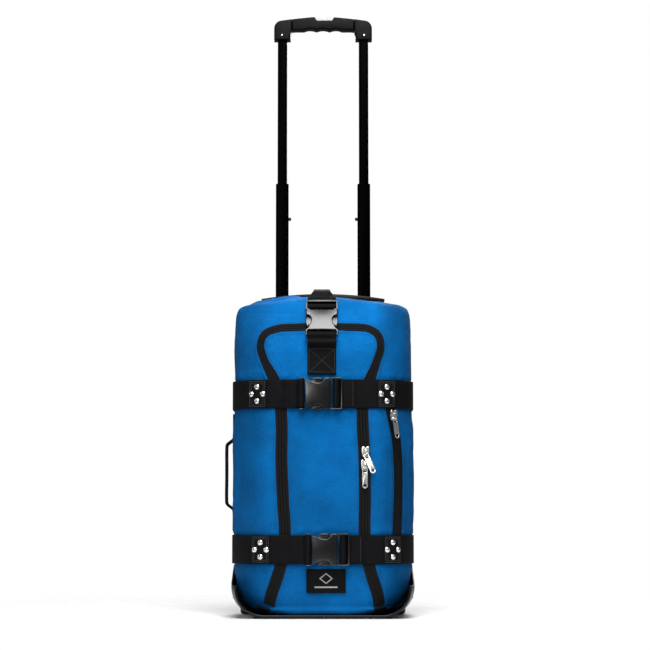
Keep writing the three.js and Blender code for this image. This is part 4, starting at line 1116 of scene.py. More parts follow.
def make_strap(word, side_word):
    side = side_of(side_word)
    z = STRAP_Z[word]
    buckle = BUCKLE_X[word]
    loop = FEMALE_LOOP if side < 0 else male_loop(TAILS[word])
    start = 57 * MM - buckle if side < 0 else buckle + 36.5 * MM
    lift = WEB_LIFT + WEB_THICK / 2
    plan = [(buckle + x * MM, FRONT_Y - BUCKLE_BACK - out * MM) for x, out in loop]
    plan = soften_corners(plan + strap_line(side, start, SIDE_END, lift), 2)
    across = UP * -side
    path = [(x, y, z) for x, y in plan]
    strap = band(f"{word}_strap_{side_word}_web", path, across, WEB_WIDTH, WEB_THICK, LOOKS["webbing"])
    low, high = (v * MM for v in PATCHES[word, side_word])
    patch_lift = WEB_LIFT + WEB_THICK + 0.7 * MM
    patch_path = [(x, y, z) for x, y in strap_line(side, low, high, patch_lift, 12)]
    patch_width = WEB_WIDTH - 1.5 * MM
    patch = band(f"{word}_patch_{side_word}", patch_path, across, patch_width, 1.8 * MM, LOOKS["webbing"])
    piece = join(f"{word}_strap_{side_word}_web", [strap, patch])
    place(piece, "bag", "webbing", f"{word}_strap_{side_word}")
    thread_lift = WEB_LIFT + WEB_THICK + 1.75 * MM
    lines = []
    for inset in (2.4 * MM, 5.4 * MM):
        half = WEB_WIDTH / 2 - 0.75 * MM - inset
        lines += box_of_stitches(side, low + inset, high - inset, z, half, thread_lift)
    end_lift = WEB_LIFT + WEB_THICK + 0.1 * MM
    lines += box_of_stitches(side, SIDE_END - 14 * MM, SIDE_END - 3 * MM, z, 20 * MM, end_lift)
    if side > 0:
        tail = buckle + (TAILS[word] - 5) * MM
        out = FRONT_Y - BUCKLE_BACK - (SECOND_LAYER + 1.2) * MM
        lines.append(([(tail, out, z - 22 * MM), (tail, out, z + 22 * MM)], -BACKWARD))
    place(stitches(f"{word}_strap_{side_word}_stitches", lines, "black"), "bag", "webbing")


def box_of_stitches(side, low, high, z, half, lift):
    """Four rows of stitches round a piece of strap, given by how far round the body it lies."""
    rows = []
    for level in (z - half, z + half):
        rounds = [side * (low + (high - low) * i / 12) for i in range(13)]
        rows.append(([(*on_outline(r, lift), level) for r in rounds], [outward(r) for r in rounds]))
    for end in (low, high):
        x, y = on_outline(side * end, lift)
        rows.append(([(x, y, z - half), (x, y, z + half)], outward(side * end)))
    return rows


def make_rivets():
    profile = [(0, -0.6), (4.75, -0.6), (4.75, 0.15), (4.5, 0.55), (4.0, 0.8), (3.6, 0.95)]
    profile += [(3.2, 1.5), (2.5, 2.0)]
    profile += [(1.5, 2.3), (0, 2.42)]
    for (word, side_word), (low, high) in PATCHES.items():
        side = side_of(side_word)
        x = on_outline(side * (low + high) / 2 * MM, 0)[0]
        matrix = surface_frame(x, STRAP_Z[word], WEB_LIFT + WEB_THICK + 1.75 * MM)
        domes = []
        for i, (a, b) in enumerate(((0, 12.4), (0, -12.4), (11, 0), (-11, 0))):
            move = Matrix.Translation((a * MM, b * MM, -abs(a) * 0.07 * MM))
            spot = matrix @ move @ Matrix.Rotation(a * 0.0125, 4, "Y")
            domes.append(lathe(f"dome_{i}", in_mm(profile), spot, LOOKS["nickel"], 32))
        place(join(f"{word}_rivets_{side_word}_domes", domes), "bag", "nickel", f"{word}_rivets_{side_word}")


# ---------------------------------------------------------------- side-release buckles, local frame in mm
# X runs along the strap with the male half at +X, Y across it, Z outwards.
BUCKLE_THICK = 11
FEMALE_EDGE = [
    (26.6, 27.8), (16, 27.6), (13.6, 22.5), (10, 19.6), (5.7, 18.6),
    (0, 19.2), (-5, 20.8), (-12, 24.2), (-20, 28),
    (-26, 28.4), (-28.5, 26.8),
]
ARM_EDGE = [
    (22, 11.5), (22, 16.4), (13.2, 17), (12, 22), (9.5, 25.2),
    (5, 26), (0, 25.2), (-5, 22.4), (-9, 18.5), (-9, 13.5),
    (0, 12),
]
ARM_PAD = [
    (-8.5, 24.8), (-4, 27.2), (1, 28.3), (7, 28.4), (11.6, 27), (14, 24.4), (12.2, 21.4), (7, 20.6), (0, 21.2),
    (-6, 23.2),
]
SLOT_HALF = 25.8


def both_edges(edge):
    return list(edge) + [(x, -y) for x, y in reversed(edge)]


def rounded_loop(points, rounds=2):
    """A closed loop with its corners cut to curves."""
    for _ in range(rounds):
        cut = []
        for (ax, ay), (bx, by) in zip(points, points[1:] + points[:1]):
            cut += [(ax * near + bx * far, ay * near + by * far) for near, far in ((0.78, 0.22), (0.22, 0.78))]
        points = cut
    return points


def slab(name, loops, low, high, bevel, matrix, look=None):
    """A buckle plate given in mm."""
    loops = [[(x * MM, y * MM) for x, y in loop] for loop in loops]
    return plate(name, loops, low * MM, high * MM, bevel * MM, look or LOOKS["buckle_plastic"], matrix)


def rod(name, start, end, radius, look, segments=20):
    """A round bar with softened ends between two points."""
    start, end = Vector(start), Vector(end)
    long = (end - start).length
    soft = min(0.35 * radius, 0.4 * long)
    profile = [(0, 0), (radius - soft, 0), (radius - 0.3 * soft, 0.3 * soft), (radius, soft)]
    profile += [(r, long - h) for r, h in reversed(profile)]
    matrix = Matrix.Translation(start) @ (end - start).to_track_quat("Z", "Y").to_matrix().to_4x4()
    return lathe(name, profile, matrix, look, segments)


def crown(piece, matrix, above, height, half):
    """Domes the faces of a plate that lie above a level of its local frame, sizes in mm."""
    with edited(piece.data) as bm:
        bmesh.ops.dissolve_limit(bm, angle_limit=math.radians(1), verts=bm.verts, edges=bm.edges)
        turn = matrix.to_3x3()
        for k in range(-5, 6):
            for axis in (0, 1):
                normal = turn @ Vector((1 - axis, axis, 0))
                spot = matrix @ Vector(((1 - axis) * k * 5 * MM, axis * k * 5 * MM, 0))
                geometry = bm.verts[:] + bm.edges[:] + bm.faces[:]
                bmesh.ops.bisect_plane(bm, geom=geometry, dist=1e-6, plane_co=spot, plane_no=normal)
        back = matrix.inverted()
        for vertex in bm.verts:
            local = (back @ vertex.co) / MM
            if local.z > above:
                share = max(0.0, 1 - (local.x / half) ** 2) * max(0.0, 1 - (local.y / half) ** 2)
                local.z += height * share * min(1.0, (local.z - above) / 1.5)
                vertex.co = matrix @ (local * MM)
    return sharp_edges_shading(piece, 40)


def mirrored(points, side):
    """The outline at side 1, or its mirror image at side -1, turning the same way round."""
    return [(x, side * y) for x, y in points][::side]


def cross_bar(name, matrix, x, half, radius):
    start, end = (matrix @ (Vector((x, y, BAR_Z)) * MM) for y in (-half, half))
    return rod(name, start, end, radius * MM, LOOKS["buckle_plastic"])


def make_buckle(word, matrix):
    # The web slot is open between the wings at -X, and the end bar crosses it.
    outline = both_edges([(x, y) for x, y in FEMALE_EDGE])
    inner = [(-28.5, -SLOT_HALF), (-17.2, -SLOT_HALF), (-17.2, SLOT_HALF), (-28.5, SLOT_HALF)]
    outline = outline[: len(FEMALE_EDGE)] + inner[::-1][:1] + inner[::-1][1:] + outline[len(FEMALE_EDGE) :]
    top = slab("top", [soft_outline(outline)], 7.9, BUCKLE_THICK, 1.45, matrix)
    crown(top, matrix, 9.0, 2.0, 31)
    bottom = slab("bottom", [soft_outline(outline)], 0, 3.2, 0.7, matrix)
    block = [(x, y) for x, y in FEMALE_EDGE if x <= -12]
    block_loop = block + [(-28.5, SLOT_HALF), (-17.2, SLOT_HALF), (-17.2, -SLOT_HALF), (-28.5, -SLOT_HALF)]
    block_loop += [(x, -y) for x, y in reversed(block)]
    middle = slab("middle", [block_loop], 2.6, 8.6, 0.3, matrix)
    rail = [(16.6, 24.6), (26, 24.6), (26, 27.4), (16.6, 27.2)]
    rails = [slab("rail", [mirrored(rail, s)], 2.6, 8.6, 0.3, matrix) for s in (1, -1)]
    bar = cross_bar("bar", matrix, FEMALE_BAR_X, 26.6, 2.2)
    female = join(f"{word}_buckle_body", [top, bottom, middle, *rails, bar])
    place(female, "bag", "buckle_plastic", f"{word}_buckle_female")

    frame_outline = [(27.3, 28), (27.3, 25.3), (45.2, 25.3), (45.2, -25.3), (27.3, -25.3), (27.3, -28)]
    frame_outline += arc(42.8, -22, 6, -90, 0, 6) + arc(42.8, 22, 6, 0, 90, 6)
    c_frame = slab("frame", [frame_outline[::-1]], 2.8, 9.8, 0.95, matrix)
    shoulder = [(27.3, 19), (31, 24), (31, 27.4), (27.3, 27.4)]
    shoulders = [slab("shoulder", [mirrored(shoulder, s)], 3.2, 9.2, 0.8, matrix) for s in (1, -1)]
    throat = slab("throat", [[(20, -24), (28.6, -24), (28.6, 24), (20, 24)]], 3.5, 7.7, 0.5, matrix)
    tongue = slab("tongue", [[(-8, -6), (21, -6), (21, 6), (-8, 6)]], 3.5, 7.7, 0.6, matrix)
    ladder = cross_bar("ladder", matrix, MALE_BAR_X, 26.4, 2.1)
    male = join(f"{word}_buckle_ladder", [c_frame, *shoulders, throat, tongue, ladder])
    place(male, "bag", "buckle_plastic", f"{word}_buckle_male")

    for letter, s in (("a", 1), ("b", -1)):
        blade = slab("blade", [rounded_loop(mirrored(ARM_EDGE, s), 1)], 3.5, 7.7, 0.5, matrix)
        pad = slab("pad", [rounded_loop(mirrored(ARM_PAD, s), 2)], 3.35, 7.75, 1.4, matrix)
        arm = join(f"{word}_buckle_tab_{letter}", [blade, pad])
        node = f"{word}_buckle_arm_{letter}"
        place(arm, node, "buckle_plastic", node)


def soft_outline(points):
    """Cuts the corners of a closed outline a little, keeping its long straight sides."""
    softened = []
    count = len(points)
    for i, (x, y) in enumerate(points):
        for other in (points[i - 1], points[(i + 1) % count]):
            dx, dy = other[0] - x, other[1] - y
            long = math.hypot(dx, dy)
            step = min(0.9, 0.35 * long) / max(long, 1e-9)
            softened.append((x + dx * step, y + dy * step))
    return softened


def flat_buckle_matrix(word):
    spot = Vector((BUCKLE_X[word], FRONT_Y - BUCKLE_BACK, STRAP_Z[word]))
    return Matrix.Translation(spot) @ Matrix.Rotation(math.pi / 2, 4, "X")


# ---------------------------------------------------------------- vertical strap, top buckle and grab handles
TOP_STRAP_X = centre("top_strap_lower").x
TOP_BUCKLE_Z = 517 * MM
TOP_TILT = math.radians(31)
TOP_LIFT = 3.4 * MM
TOP_BUCKLE_MIDDLE = 10.2


def on_profile(z, lift):
    """The body's side profile on the middle line, moved out from the surface, as y, z."""
    if z <= SHOULDER_Z:
        return FRONT_Y - lift, z
    rise = BODY_TOP - SHOULDER_Z
    s = min(1.0, (z - SHOULDER_Z) / rise)
    c = math.sqrt(1 - s * s)
    outwards = Vector((-c / SHOULDER_DEPTH, s / rise)).normalized()
    return FRONT_Y + SHOULDER_DEPTH * (1 - c) + outwards.x * lift, z + outwards.y * lift


def on_top_buckle(up, out):
    """From the top buckle's frame, in mm, to y, z of the bag."""
    y, z = on_profile(TOP_BUCKLE_Z, TOP_LIFT)
    up, out = (up - TOP_BUCKLE_MIDDLE) * MM, out * MM
    sin, cos = math.sin(TOP_TILT), math.cos(TOP_TILT)
    return y + up * sin - out * cos, z + up * cos + out * sin


def top_buckle_matrix():
    spot = Vector((TOP_STRAP_X, *on_top_buckle(0, 0)))
    turn = Matrix.Rotation(math.pi / 2 - TOP_TILT, 4, "X") @ Matrix.Rotation(math.pi / 2, 4, "Z")
    return Matrix.Translation(spot) @ turn


def narrowing(point):
    """The webbing is gathered towards the grab handle where it goes over the top."""
    return 1 - 0.4 * float(smooth_step((point[2] - 560 * MM) / (18 * MM)))


def make_top_straps():
    middle = WEB_LIFT + WEB_THICK / 2
    lower = [on_top_buckle(up, SURFACE_LAYER) for up in (-40, -25)]
    lower += [on_top_buckle(*p) for p in FEMALE_LOOP[2:-3]]
    lower += [on_top_buckle(up, SECOND_LAYER + 0.6) for up in (-33, -38)]
    lower += [on_profile(z * MM, middle + 0.3 * MM) for z in (470, 460, 448, 436, 423)]
    upper = [on_top_buckle(*p) for p in male_loop(58)]
    upper += [on_top_buckle(up, SURFACE_LAYER) for up in (37, 48)]
    upper += [on_profile(z * MM, middle) for z in (557, 561, 564.5, 566.6, 568)]
    upper.append((2 * MM, BODY_TOP + middle))
    for word, line in (("lower", lower), ("upper", upper)):
        path = [(TOP_STRAP_X, y, z) for y, z in soften_corners(line, 2)]
        narrow = [narrowing(p) for p in path]
        name = f"top_strap_{word}_web"
        strap = band(name, path, RIGHT, WEB_WIDTH, WEB_THICK, LOOKS["webbing"], taper=narrow)
        place(strap, "bag", "webbing", f"top_strap_{word}")
    half, top, bottom = 22.4 * MM, 467 * MM, 427 * MM
    lift = WEB_LIFT + WEB_THICK + 0.4 * MM
    corners = {
        (s, z): Vector((TOP_STRAP_X + s * half, *on_profile(z, lift))) for s in (-1, 1) for z in (top, bottom)
    }
    lines = []
    edges = (((-1, top), (1, top)), ((-1, bottom), (1, bottom)))
    diagonals = (((-1, top), (1, bottom)), ((1, top), (-1, bottom)))
    for a, b in edges + diagonals:
        lines.append(([corners[a].lerp(corners[b], t / 8) for t in range(9)], -BACKWARD))
    for s in (-1, 1):
        x, heights = TOP_STRAP_X + s * half, [bottom + (top - bottom) * t / 8 for t in range(9)]
        lines.append(([Vector((x, *on_profile(z, lift))) for z in heights], -BACKWARD))
    place(stitches("top_strap_box_stitches", lines, "black"), "bag", "webbing")


def make_top_handle():
    """A webbing arch that is folded narrow where the hand holds it, sewn to the strap at its front."""
    low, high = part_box("top_handle")
    base, apex = low.z + WEB_THICK / 2, 5.6 * MM
    path, wide, deep = [], [], []
    for t in np.linspace(0, 1, 41):
        fold = float(smooth_step(min(t, 1 - t) / 0.26))
        rise = apex * math.sin(math.pi * min(1, max(0, (t - 0.06) / 0.88))) ** 0.8
        path.append((TOP_STRAP_X, low.y + (high.y - low.y) * t, base + rise))
        wide.append(min(narrowing(path[-1]), 1 - 0.44 * fold))
        deep.append(1 + 0.9 * fold)
    root_lift = WEB_LIFT + WEB_THICK * 1.5 + 0.6 * MM
    root = [(TOP_STRAP_X, *on_profile(z * MM, root_lift)) for z in (552, 557, 562)]
    path = root + path
    handle = band(
        "top_handle_web", path, RIGHT, WEB_WIDTH, WEB_THICK, LOOKS["webbing"],
        taper=[narrowing(p) for p in root] + wide, thickness=[1] * 3 + deep,
    )
    place(handle, "bag", "webbing", "top_handle")
    spot = Vector((TOP_STRAP_X, low.y + 2.5 * MM, base + 1.35 * MM))
    row = [spot + RIGHT * (13 * MM * t) for t in (-1, -0.5, 0, 0.5, 1)]
    place(stitches("top_handle_stitches", [(row, UP)], "black"), "bag", "webbing")


def make_side_handle():
    low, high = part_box("side_handle")
    middle, width = centre("side_handle").y, high.y - low.y
    thick = 4.4 * MM
    flat = -HALF_WIDTH - thick / 2 - 0.5 * MM
    out = low.x + thick / 2
    line = [
        (flat, 358), (flat, 317), (flat - 2 * MM, 312), (out + 1.5 * MM, 305), (out, 299),
        (out + 0.6 * MM, 251),
        (out, 203), (out + 1.5 * MM, 197), (flat - 2 * MM, 190), (flat, 185), (flat, 150),
    ]
    path = [(x, middle, z) for x, z in soften_corners([(x, z * MM) for x, z in line], 3)]
    web = band("side_handle_web", path, BACKWARD, width, thick, LOOKS["webbing"])
    lining = [(-HALF_WIDTH - 0.55 * MM, middle, z) for z in np.linspace(145 * MM, 363 * MM, 20)]
    under = band("side_handle_base", lining, BACKWARD, width + 4 * MM, 1.0 * MM, LOOKS["webbing"])
    place(join("side_handle_web", [web, under]), "bag", "webbing", "side_handle")
    lines = []
    for z0, z1 in ((316, 356), (152, 184)):
        x, a, b = flat - thick / 2 - 0.15 * MM, middle - 15 * MM, middle + 15 * MM
        z0, z1 = z0 * MM, z1 * MM
        corners = [(x, a, z0), (x, b, z0), (x, b, z1), (x, a, z1)]
        pairs = [(0, 1), (1, 2), (2, 3), (3, 0), (0, 2), (1, 3)]
        lines += [([corners[i], corners[j]], -RIGHT) for i, j in pairs]
    place(stitches("side_handle_stitches", lines, "black"), "bag", "webbing")


# ---------------------------------------------------------------- zip sliders and pulls, local frame in mm
SLIDER_LIFT = 2.2
PULL_HINGE = Vector((0, -3.4, 5.5))
PULL_LENGTH = 38
SLIDERS = {"upper": (74, 288, 24, 5, 0), "lower": (73, 265, 0, 0, 0), "pocket": (120.5, 352, 10, 0, 0.9)}


def make_slider(word):
    x, z, turn, tip, extra = SLIDERS[word]
    nickel = LOOKS["nickel"]
    matrix = surface_frame(x * MM, z * MM, (SLIDER_LIFT + extra) * MM)
    outline = [(-4.5, -9.5), (4.5, -9.5), (6.8, -3), (6.8, 9.5), (2, 9.5), (0, 6)]
    outline += [(-2, 9.5), (-6.8, 9.5), (-6.8, -3)]
    wedge = slab("wedge", [rounded_loop(outline, 1)], 0, 4, 0.8, matrix, nickel)
    crown(wedge, matrix, 3.3, 0.7, 10)
    arch = [(-7, 3.4), (-6.6, 6.3), (-4.9, 8.0), (-1, 8.3), (2.4, 8.0), (4.0, 6.4), (4.4, 3.4)]
    points = [matrix @ (Vector((0, y, h)) * MM) for y, h in soften_corners(arch, 2)]
    across = matrix.to_3x3() @ RIGHT
    bridge = band("bridge", points, across, 2.6 * MM, 1.1 * MM, nickel)
    body = join(f"{word}_slider_body", [wedge, bridge])
    place(sharp_edges_shading(body, 50), f"{word}_slider", "nickel", f"{word}_slider")

    turned = Matrix.Rotation(math.radians(turn), 4, "Z") @ Matrix.Rotation(math.radians(-tip), 4, "X")
    pull_matrix = matrix @ Matrix.Translation(PULL_HINGE * MM) @ turned
    end = 1 - PULL_LENGTH
    shape = arc(0, 1 - 4.9, 4.9, 0, 180, 12) + arc(0, end + 4.9, 4.9, 180, 360, 12)
    eye = arc(0, end + 5.2, 2.9, 0, 345, 23)
    neck = rounded_rect(5.8, 8, 1.6, 4, 0, -5)
    pull = slab("pull", [shape, eye, neck], -0.8, 0.8, 0.45, pull_matrix, nickel)
    pull.name = f"{word}_pull_tab"
    place(pull, f"{word}_pull", "nickel", f"{word}_pull")


# ---------------------------------------------------------------- name patch
def make_name_patch():
    low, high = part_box("name_patch")
    middle = (low + high) / 2
    matrix = Matrix.Translation((middle.x, high.y, middle.z)) @ Matrix.Rotation(math.pi / 2, 4, "X")
    wide, tall = (high.x - low.x) / MM, (high.z - low.z) / MM
    look = LOOKS["patch_plastic"]
    base = slab("base", [rounded_rect(wide, tall, 2.5)], 0, 1.5, 0.5, matrix, look)
    border = [rounded_rect(wide - 4, tall - 4, 1.8), rounded_rect(wide - 6, tall - 6, 1.2)]
    rim = slab("rim", border, 1.1, 2.0, 0.3, matrix, look)
    place(join("name_patch_plain", [base, rim]), "bag", "patch_plastic", "name_patch")
    rhombus = [[(0, 4.5 + s), (s * 1.25, 4.5), (0, 4.5 - s), (-s * 1.25, 4.5)] for s in (9.5, 7.3)]
    emblem = slab("emblem", rhombus, 1.3, 2.0, 0.25, matrix, EMBLEM)
    bars = slab("bar", [rounded_rect(40, 2.6, 1.2, 4, 0, -10.5)], 1.3, 2.0, 0.25, matrix, EMBLEM)
    place(join("name_patch_emblem", [emblem, bars]), "bag", "patch_plastic")


# ---------------------------------------------------------------- base tray, feet and wheels
TRAY_WALL = 3 * MM
TRAY_CORNER = 50 * MM
TRAY_NARROWER_IN_FRONT = 8 * MM
RIM_RADIUS = 2.6 * MM


def make_tray():
    """An open moulded tray with higher walls behind, cut away round the wheels."""
    tray_low, tray_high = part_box("base_tray")
    near, far = tray_low.y, tray_high.y
    half_far = tray_high.x

    def line(y, inset):
        share = (y - near) / (far - near)
        narrow = max(0.0, min(1.0, (-40 * MM - y) / (56 * MM))) ** 2
        half = half_far - TRAY_NARROWER_IN_FRONT * narrow - inset
        low = (2.8 + 1.7 * share) * MM + inset
        blend = float(smooth_step((y - near - 20 * MM) / (far - near - 40 * MM)))
        top = (56 + 34 * blend) * MM
        radius = TRAY_CORNER - inset
        right = arc(half - radius, low + radius, radius, -90, 0, 16) + [(half, top - 0.02), (half, top)]
        right[-2] = (half, (top + low + radius) / 2)
        return [(-x, z) for x, z in reversed(right)] + [(0, low)] + right

    depths = [near, near + 2 * MM] + list(np.linspace(near + 14 * MM, far - 1 * MM, 14))
    rings = []
    for y in depths:
        outer, inner = line(y, 0), line(y, TRAY_WALL)
        cap = [((outer[-1][0] + inner[-1][0]) / 2, outer[-1][1] + 0.8 * MM)]
        ring = outer + cap + inner[::-1] + [(-cap[0][0], cap[0][1])]
        rings.append([(x, y, z) for x, z in ring])
    shell = loft("tray_shell", rings, LOOKS["moulded_plastic"])
    back = [(x, z) for x, z in line(far, 0)]
    wall_rings = [[(x, y, z) for x, z in back] for y in (far - TRAY_WALL, far - 0.8 * MM)]
    wall_rings.append([(x * 0.995, far, z * 0.995 + 0.2 * MM) for x, z in back])
    back_wall = loft("tray_back", wall_rings, LOOKS["moulded_plastic"])
    cutters = [wheel_well(side) for side in (-1, 1)]
    housings = [wheel_housing(side) for side in (-1, 1)]
    inside = loft("inside", [[(x, y, z) for x, z in line(far, 1 * MM)] for y in (far - 70 * MM, far)], None)
    for part in housings:
        combine(part, inside, "INTERSECT")
    bpy.data.objects.remove(inside)
    moulding = [shell, back_wall, *housings]
    for part in moulding + cutters:
        face_outwards(part)
    for well in cutters:
        for part in moulding:
            combine(part, well, "DIFFERENCE")
        bpy.data.objects.remove(well)
    rim_line = [(x, near + 1.5 * MM, z) for x, z in line(near, TRAY_WALL / 2)]
    rim = tube_along("tray_rim", rim_line, RIM_RADIUS, LOOKS["moulded_plastic"])
    nub = lathe(
        "nub", [(0, -1.4 * MM), (5 * MM, -1.4 * MM), (6 * MM, 0), (5 * MM, 1.4 * MM), (0, 1.4 * MM)],
        Matrix.Translation((2 * MM, near + 3 * MM, 1.9 * MM)), LOOKS["moulded_plastic"], 24,
    )
    for part in moulding:
        sharp_edges_shading(part, 40)
    tray = join("base_tray_moulding", [*moulding, rim, nub])
    place(tray, "bag", "moulded_plastic", "base_tray")


def tube_along(name, path, radius, look, sides=14):
    """A round bead with closed ends along a line that lies in an upright plane."""
    path = [Vector(p) for p in path]
    rings = []
    for i, point in enumerate(path):
        along = (path[min(i + 1, len(path) - 1)] - path[max(i - 1, 0)]).normalized()
        across = along.cross(BACKWARD).normalized()
        ring = arc(0, 0, radius, 0, 360 - 360 / sides, sides - 1)
        rings.append([point + across * a + BACKWARD * b for a, b in ring])
    for end, inner in ((0, 1), (-1, -2)):
        along = (path[end] - path[inner]).normalized()
        tip = [path[end] + (v - path[end]) * 0.55 + along * (radius * 0.45) for v in rings[end]]
        rings.insert(0, tip) if end == 0 else rings.append(tip)
    return loft(name, rings, look)


WHEEL = {word: centre(f"tyre_{word}") for word in ("left", "right")}


def well_outline(radius, y, z, back, bottom):
    """A wheel arch seen from the side: round in front and above, open below and behind."""
    points = arc(y, z, radius, 90, 180, 14) + [(y - radius, bottom), (back, bottom), (back, z + radius)]
    return points


def wheel_well(side):
    at = WHEEL["left" if side < 0 else "right"]
    x0, x1 = at.x - 13 * MM, at.x + 13 * MM
    outline = well_outline(40 * MM, at.y, at.z, at.y + 60 * MM, -10 * MM)
    return loft("well", [[(x, y, z) for y, z in outline] for x in (x0, x1)], None)


def wheel_housing(side):
    at = WHEEL["left" if side < 0 else "right"]
    x0 = at.x - side * 15.5 * MM
    x1 = at.x + side * 24.5 * MM
    outline = well_outline(43 * MM, at.y, at.z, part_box("base_tray")[1].y - 0.4 * MM, 6 * MM)
    return loft("housing", [[(x, y, z) for y, z in outline] for x in (x0, x1)], LOOKS["moulded_plastic"])


def make_wheel(word):
    side = side_of(word)
    at = WHEEL[word]
    matrix = Matrix.Translation(at) @ Matrix.Rotation(math.pi / 2, 4, "Y")
    tread = [(26, -11), (31.5, -10.6), (33.6, -9.2), (34.6, -7), (34.9, -5.4), (34.1, -5.0)]
    tread += [(34.1, -4.2), (35, -3.8), (35, -0.6), (34.2, -0.2)]
    tread += [(r, -h) for r, h in reversed(tread)]
    profile = [(22.4, 10), (22.4, -10)] + tread
    tyre = lathe(f"tyre_{word}_tread", in_mm(profile), matrix, LOOKS["tyre_rubber"], 72)
    place(tyre, f"wheel_{word}", "tyre_rubber", f"tyre_{word}")
    rim_edge = [(17.5, 8), (17.5, -8), (18.3, -9), (21.4, -9), (22.1, -8), (22.1, 8), (21.4, 9), (18.3, 9)]
    rim = lathe("rim", in_mm(rim_edge), matrix, LOOKS["hub_plastic"], 64)
    boss_edge = [(4.6, 11), (4.6, -11), (7.6, -11.4), (8.8, -10.4), (9.4, -7)]
    boss_edge += [(9.4, 7), (8.8, 10.4), (7.6, 11.4)]
    boss = lathe("boss", in_mm(boss_edge), matrix, LOOKS["hub_plastic"], 48)
    spokes = []
    for i in range(5):
        turn = matrix @ Matrix.Rotation(math.radians(72 * i + 18), 4, "Z")
        outline = [(x * MM, y * MM) for x, y in ((8.6, -3.4), (18.2, -4.6), (18.2, 4.6), (8.6, 3.4))]
        spokes.append(plate("spoke", [outline], -6 * MM, 6 * MM, 1.0 * MM, LOOKS["hub_plastic"], turn))
    place(join(f"hub_{word}_spoked", [rim, boss, *spokes]), f"wheel_{word}", "hub_plastic", f"hub_{word}")
    low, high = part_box(f"axle_{word}")
    inner, outer = (low.x, high.x) if side > 0 else (high.x, low.x)
    bolt = [(0, 0), (3.6, 0), (4, 0.4), (4, 42.9), (7, 42.9), (7, 44), (6.3, 45)]
    bolt += [(3.4, 45), (3.4, 43.6), (0, 43.6)]
    to_side = Matrix.Translation((inner, at.y, at.z)) @ Matrix.Rotation(side * math.pi / 2, 4, "Y")
    length = abs(outer - inner) / (45 * MM)
    bolt = [(r * MM, h * MM * length) for r, h in bolt]
    axle = lathe(f"axle_{word}_bolt", bolt, to_side, LOOKS["axle_steel"], 40)
    place(axle, "bag", "axle_steel", f"axle_{word}")


def make_feet():
    for word in ("left", "right"):
        low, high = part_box(f"foot_{word}")
        middle = (low + high) / 2
        loop = rounded_rect(high.x - low.x, high.y - low.y, 5 * MM)
        matrix = Matrix.Translation((middle.x, middle.y, 0))
        foot = plate(f"foot_{word}_pad", [loop], low.z, high.z, 0.8 * MM, LOOKS["foot_rubber"], matrix)
        place(foot, "bag", "foot_rubber", f"foot_{word}")


# ---------------------------------------------------------------- telescoping handle
def make_tube(node, body, wall, radius):
    """A rounded rectangular tube with softened top edges."""
    low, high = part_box(node)
    middle = (low + high) / 2
    wide, deep = high.x - low.x, high.y - low.y

    def ring(inset, z):
        corner = max(0.6 * MM, radius - inset)
        loop = rounded_rect(wide - 2 * inset, deep - 2 * inset, corner, 6, middle.x, middle.y)
        return [(x, y, z) for x, y in loop]

    soft = 0.35 * MM
    rings = [ring(0, low.z), ring(0, high.z - soft), ring(soft, high.z), ring(wall - soft, high.z)]
    rings += [ring(wall, high.z - soft), ring(wall, low.z)]
    faces = ring_faces(len(rings), len(rings[0]), closed_rows=True)
    tube = new_piece(f"{node}_drawn", [p for r in rings for p in r], faces, LOOKS["anodised_tube"])
    place(sharp_edges_shading(tube, 35), body, "anodised_tube", node)


def make_lock_pins():
    """The rounded lock pin in each middle tube."""
    for word in ("left", "right"):
        low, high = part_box(f"lock_pin_{word}")
        middle = (low + high) / 2
        inwards = -side_of(word)
        start = (low.x if inwards > 0 else high.x, middle.y, middle.z)
        end = (high.x if inwards > 0 else low.x, middle.y, middle.z)
        pin = rod(f"lock_pin_{word}_rounded", start, end, 3 * MM, LOOKS["moulded_plastic"], 28)
        place(pin, "middle_stage", "moulded_plastic", f"lock_pin_{word}")


def grip_scallops(palm):
    xs = np.linspace(-42, 42, 57)
    return [(x, palm + (2.6 * abs(math.cos(math.pi * x / 24)) if abs(x) < 34 else 0)) for x in xs]


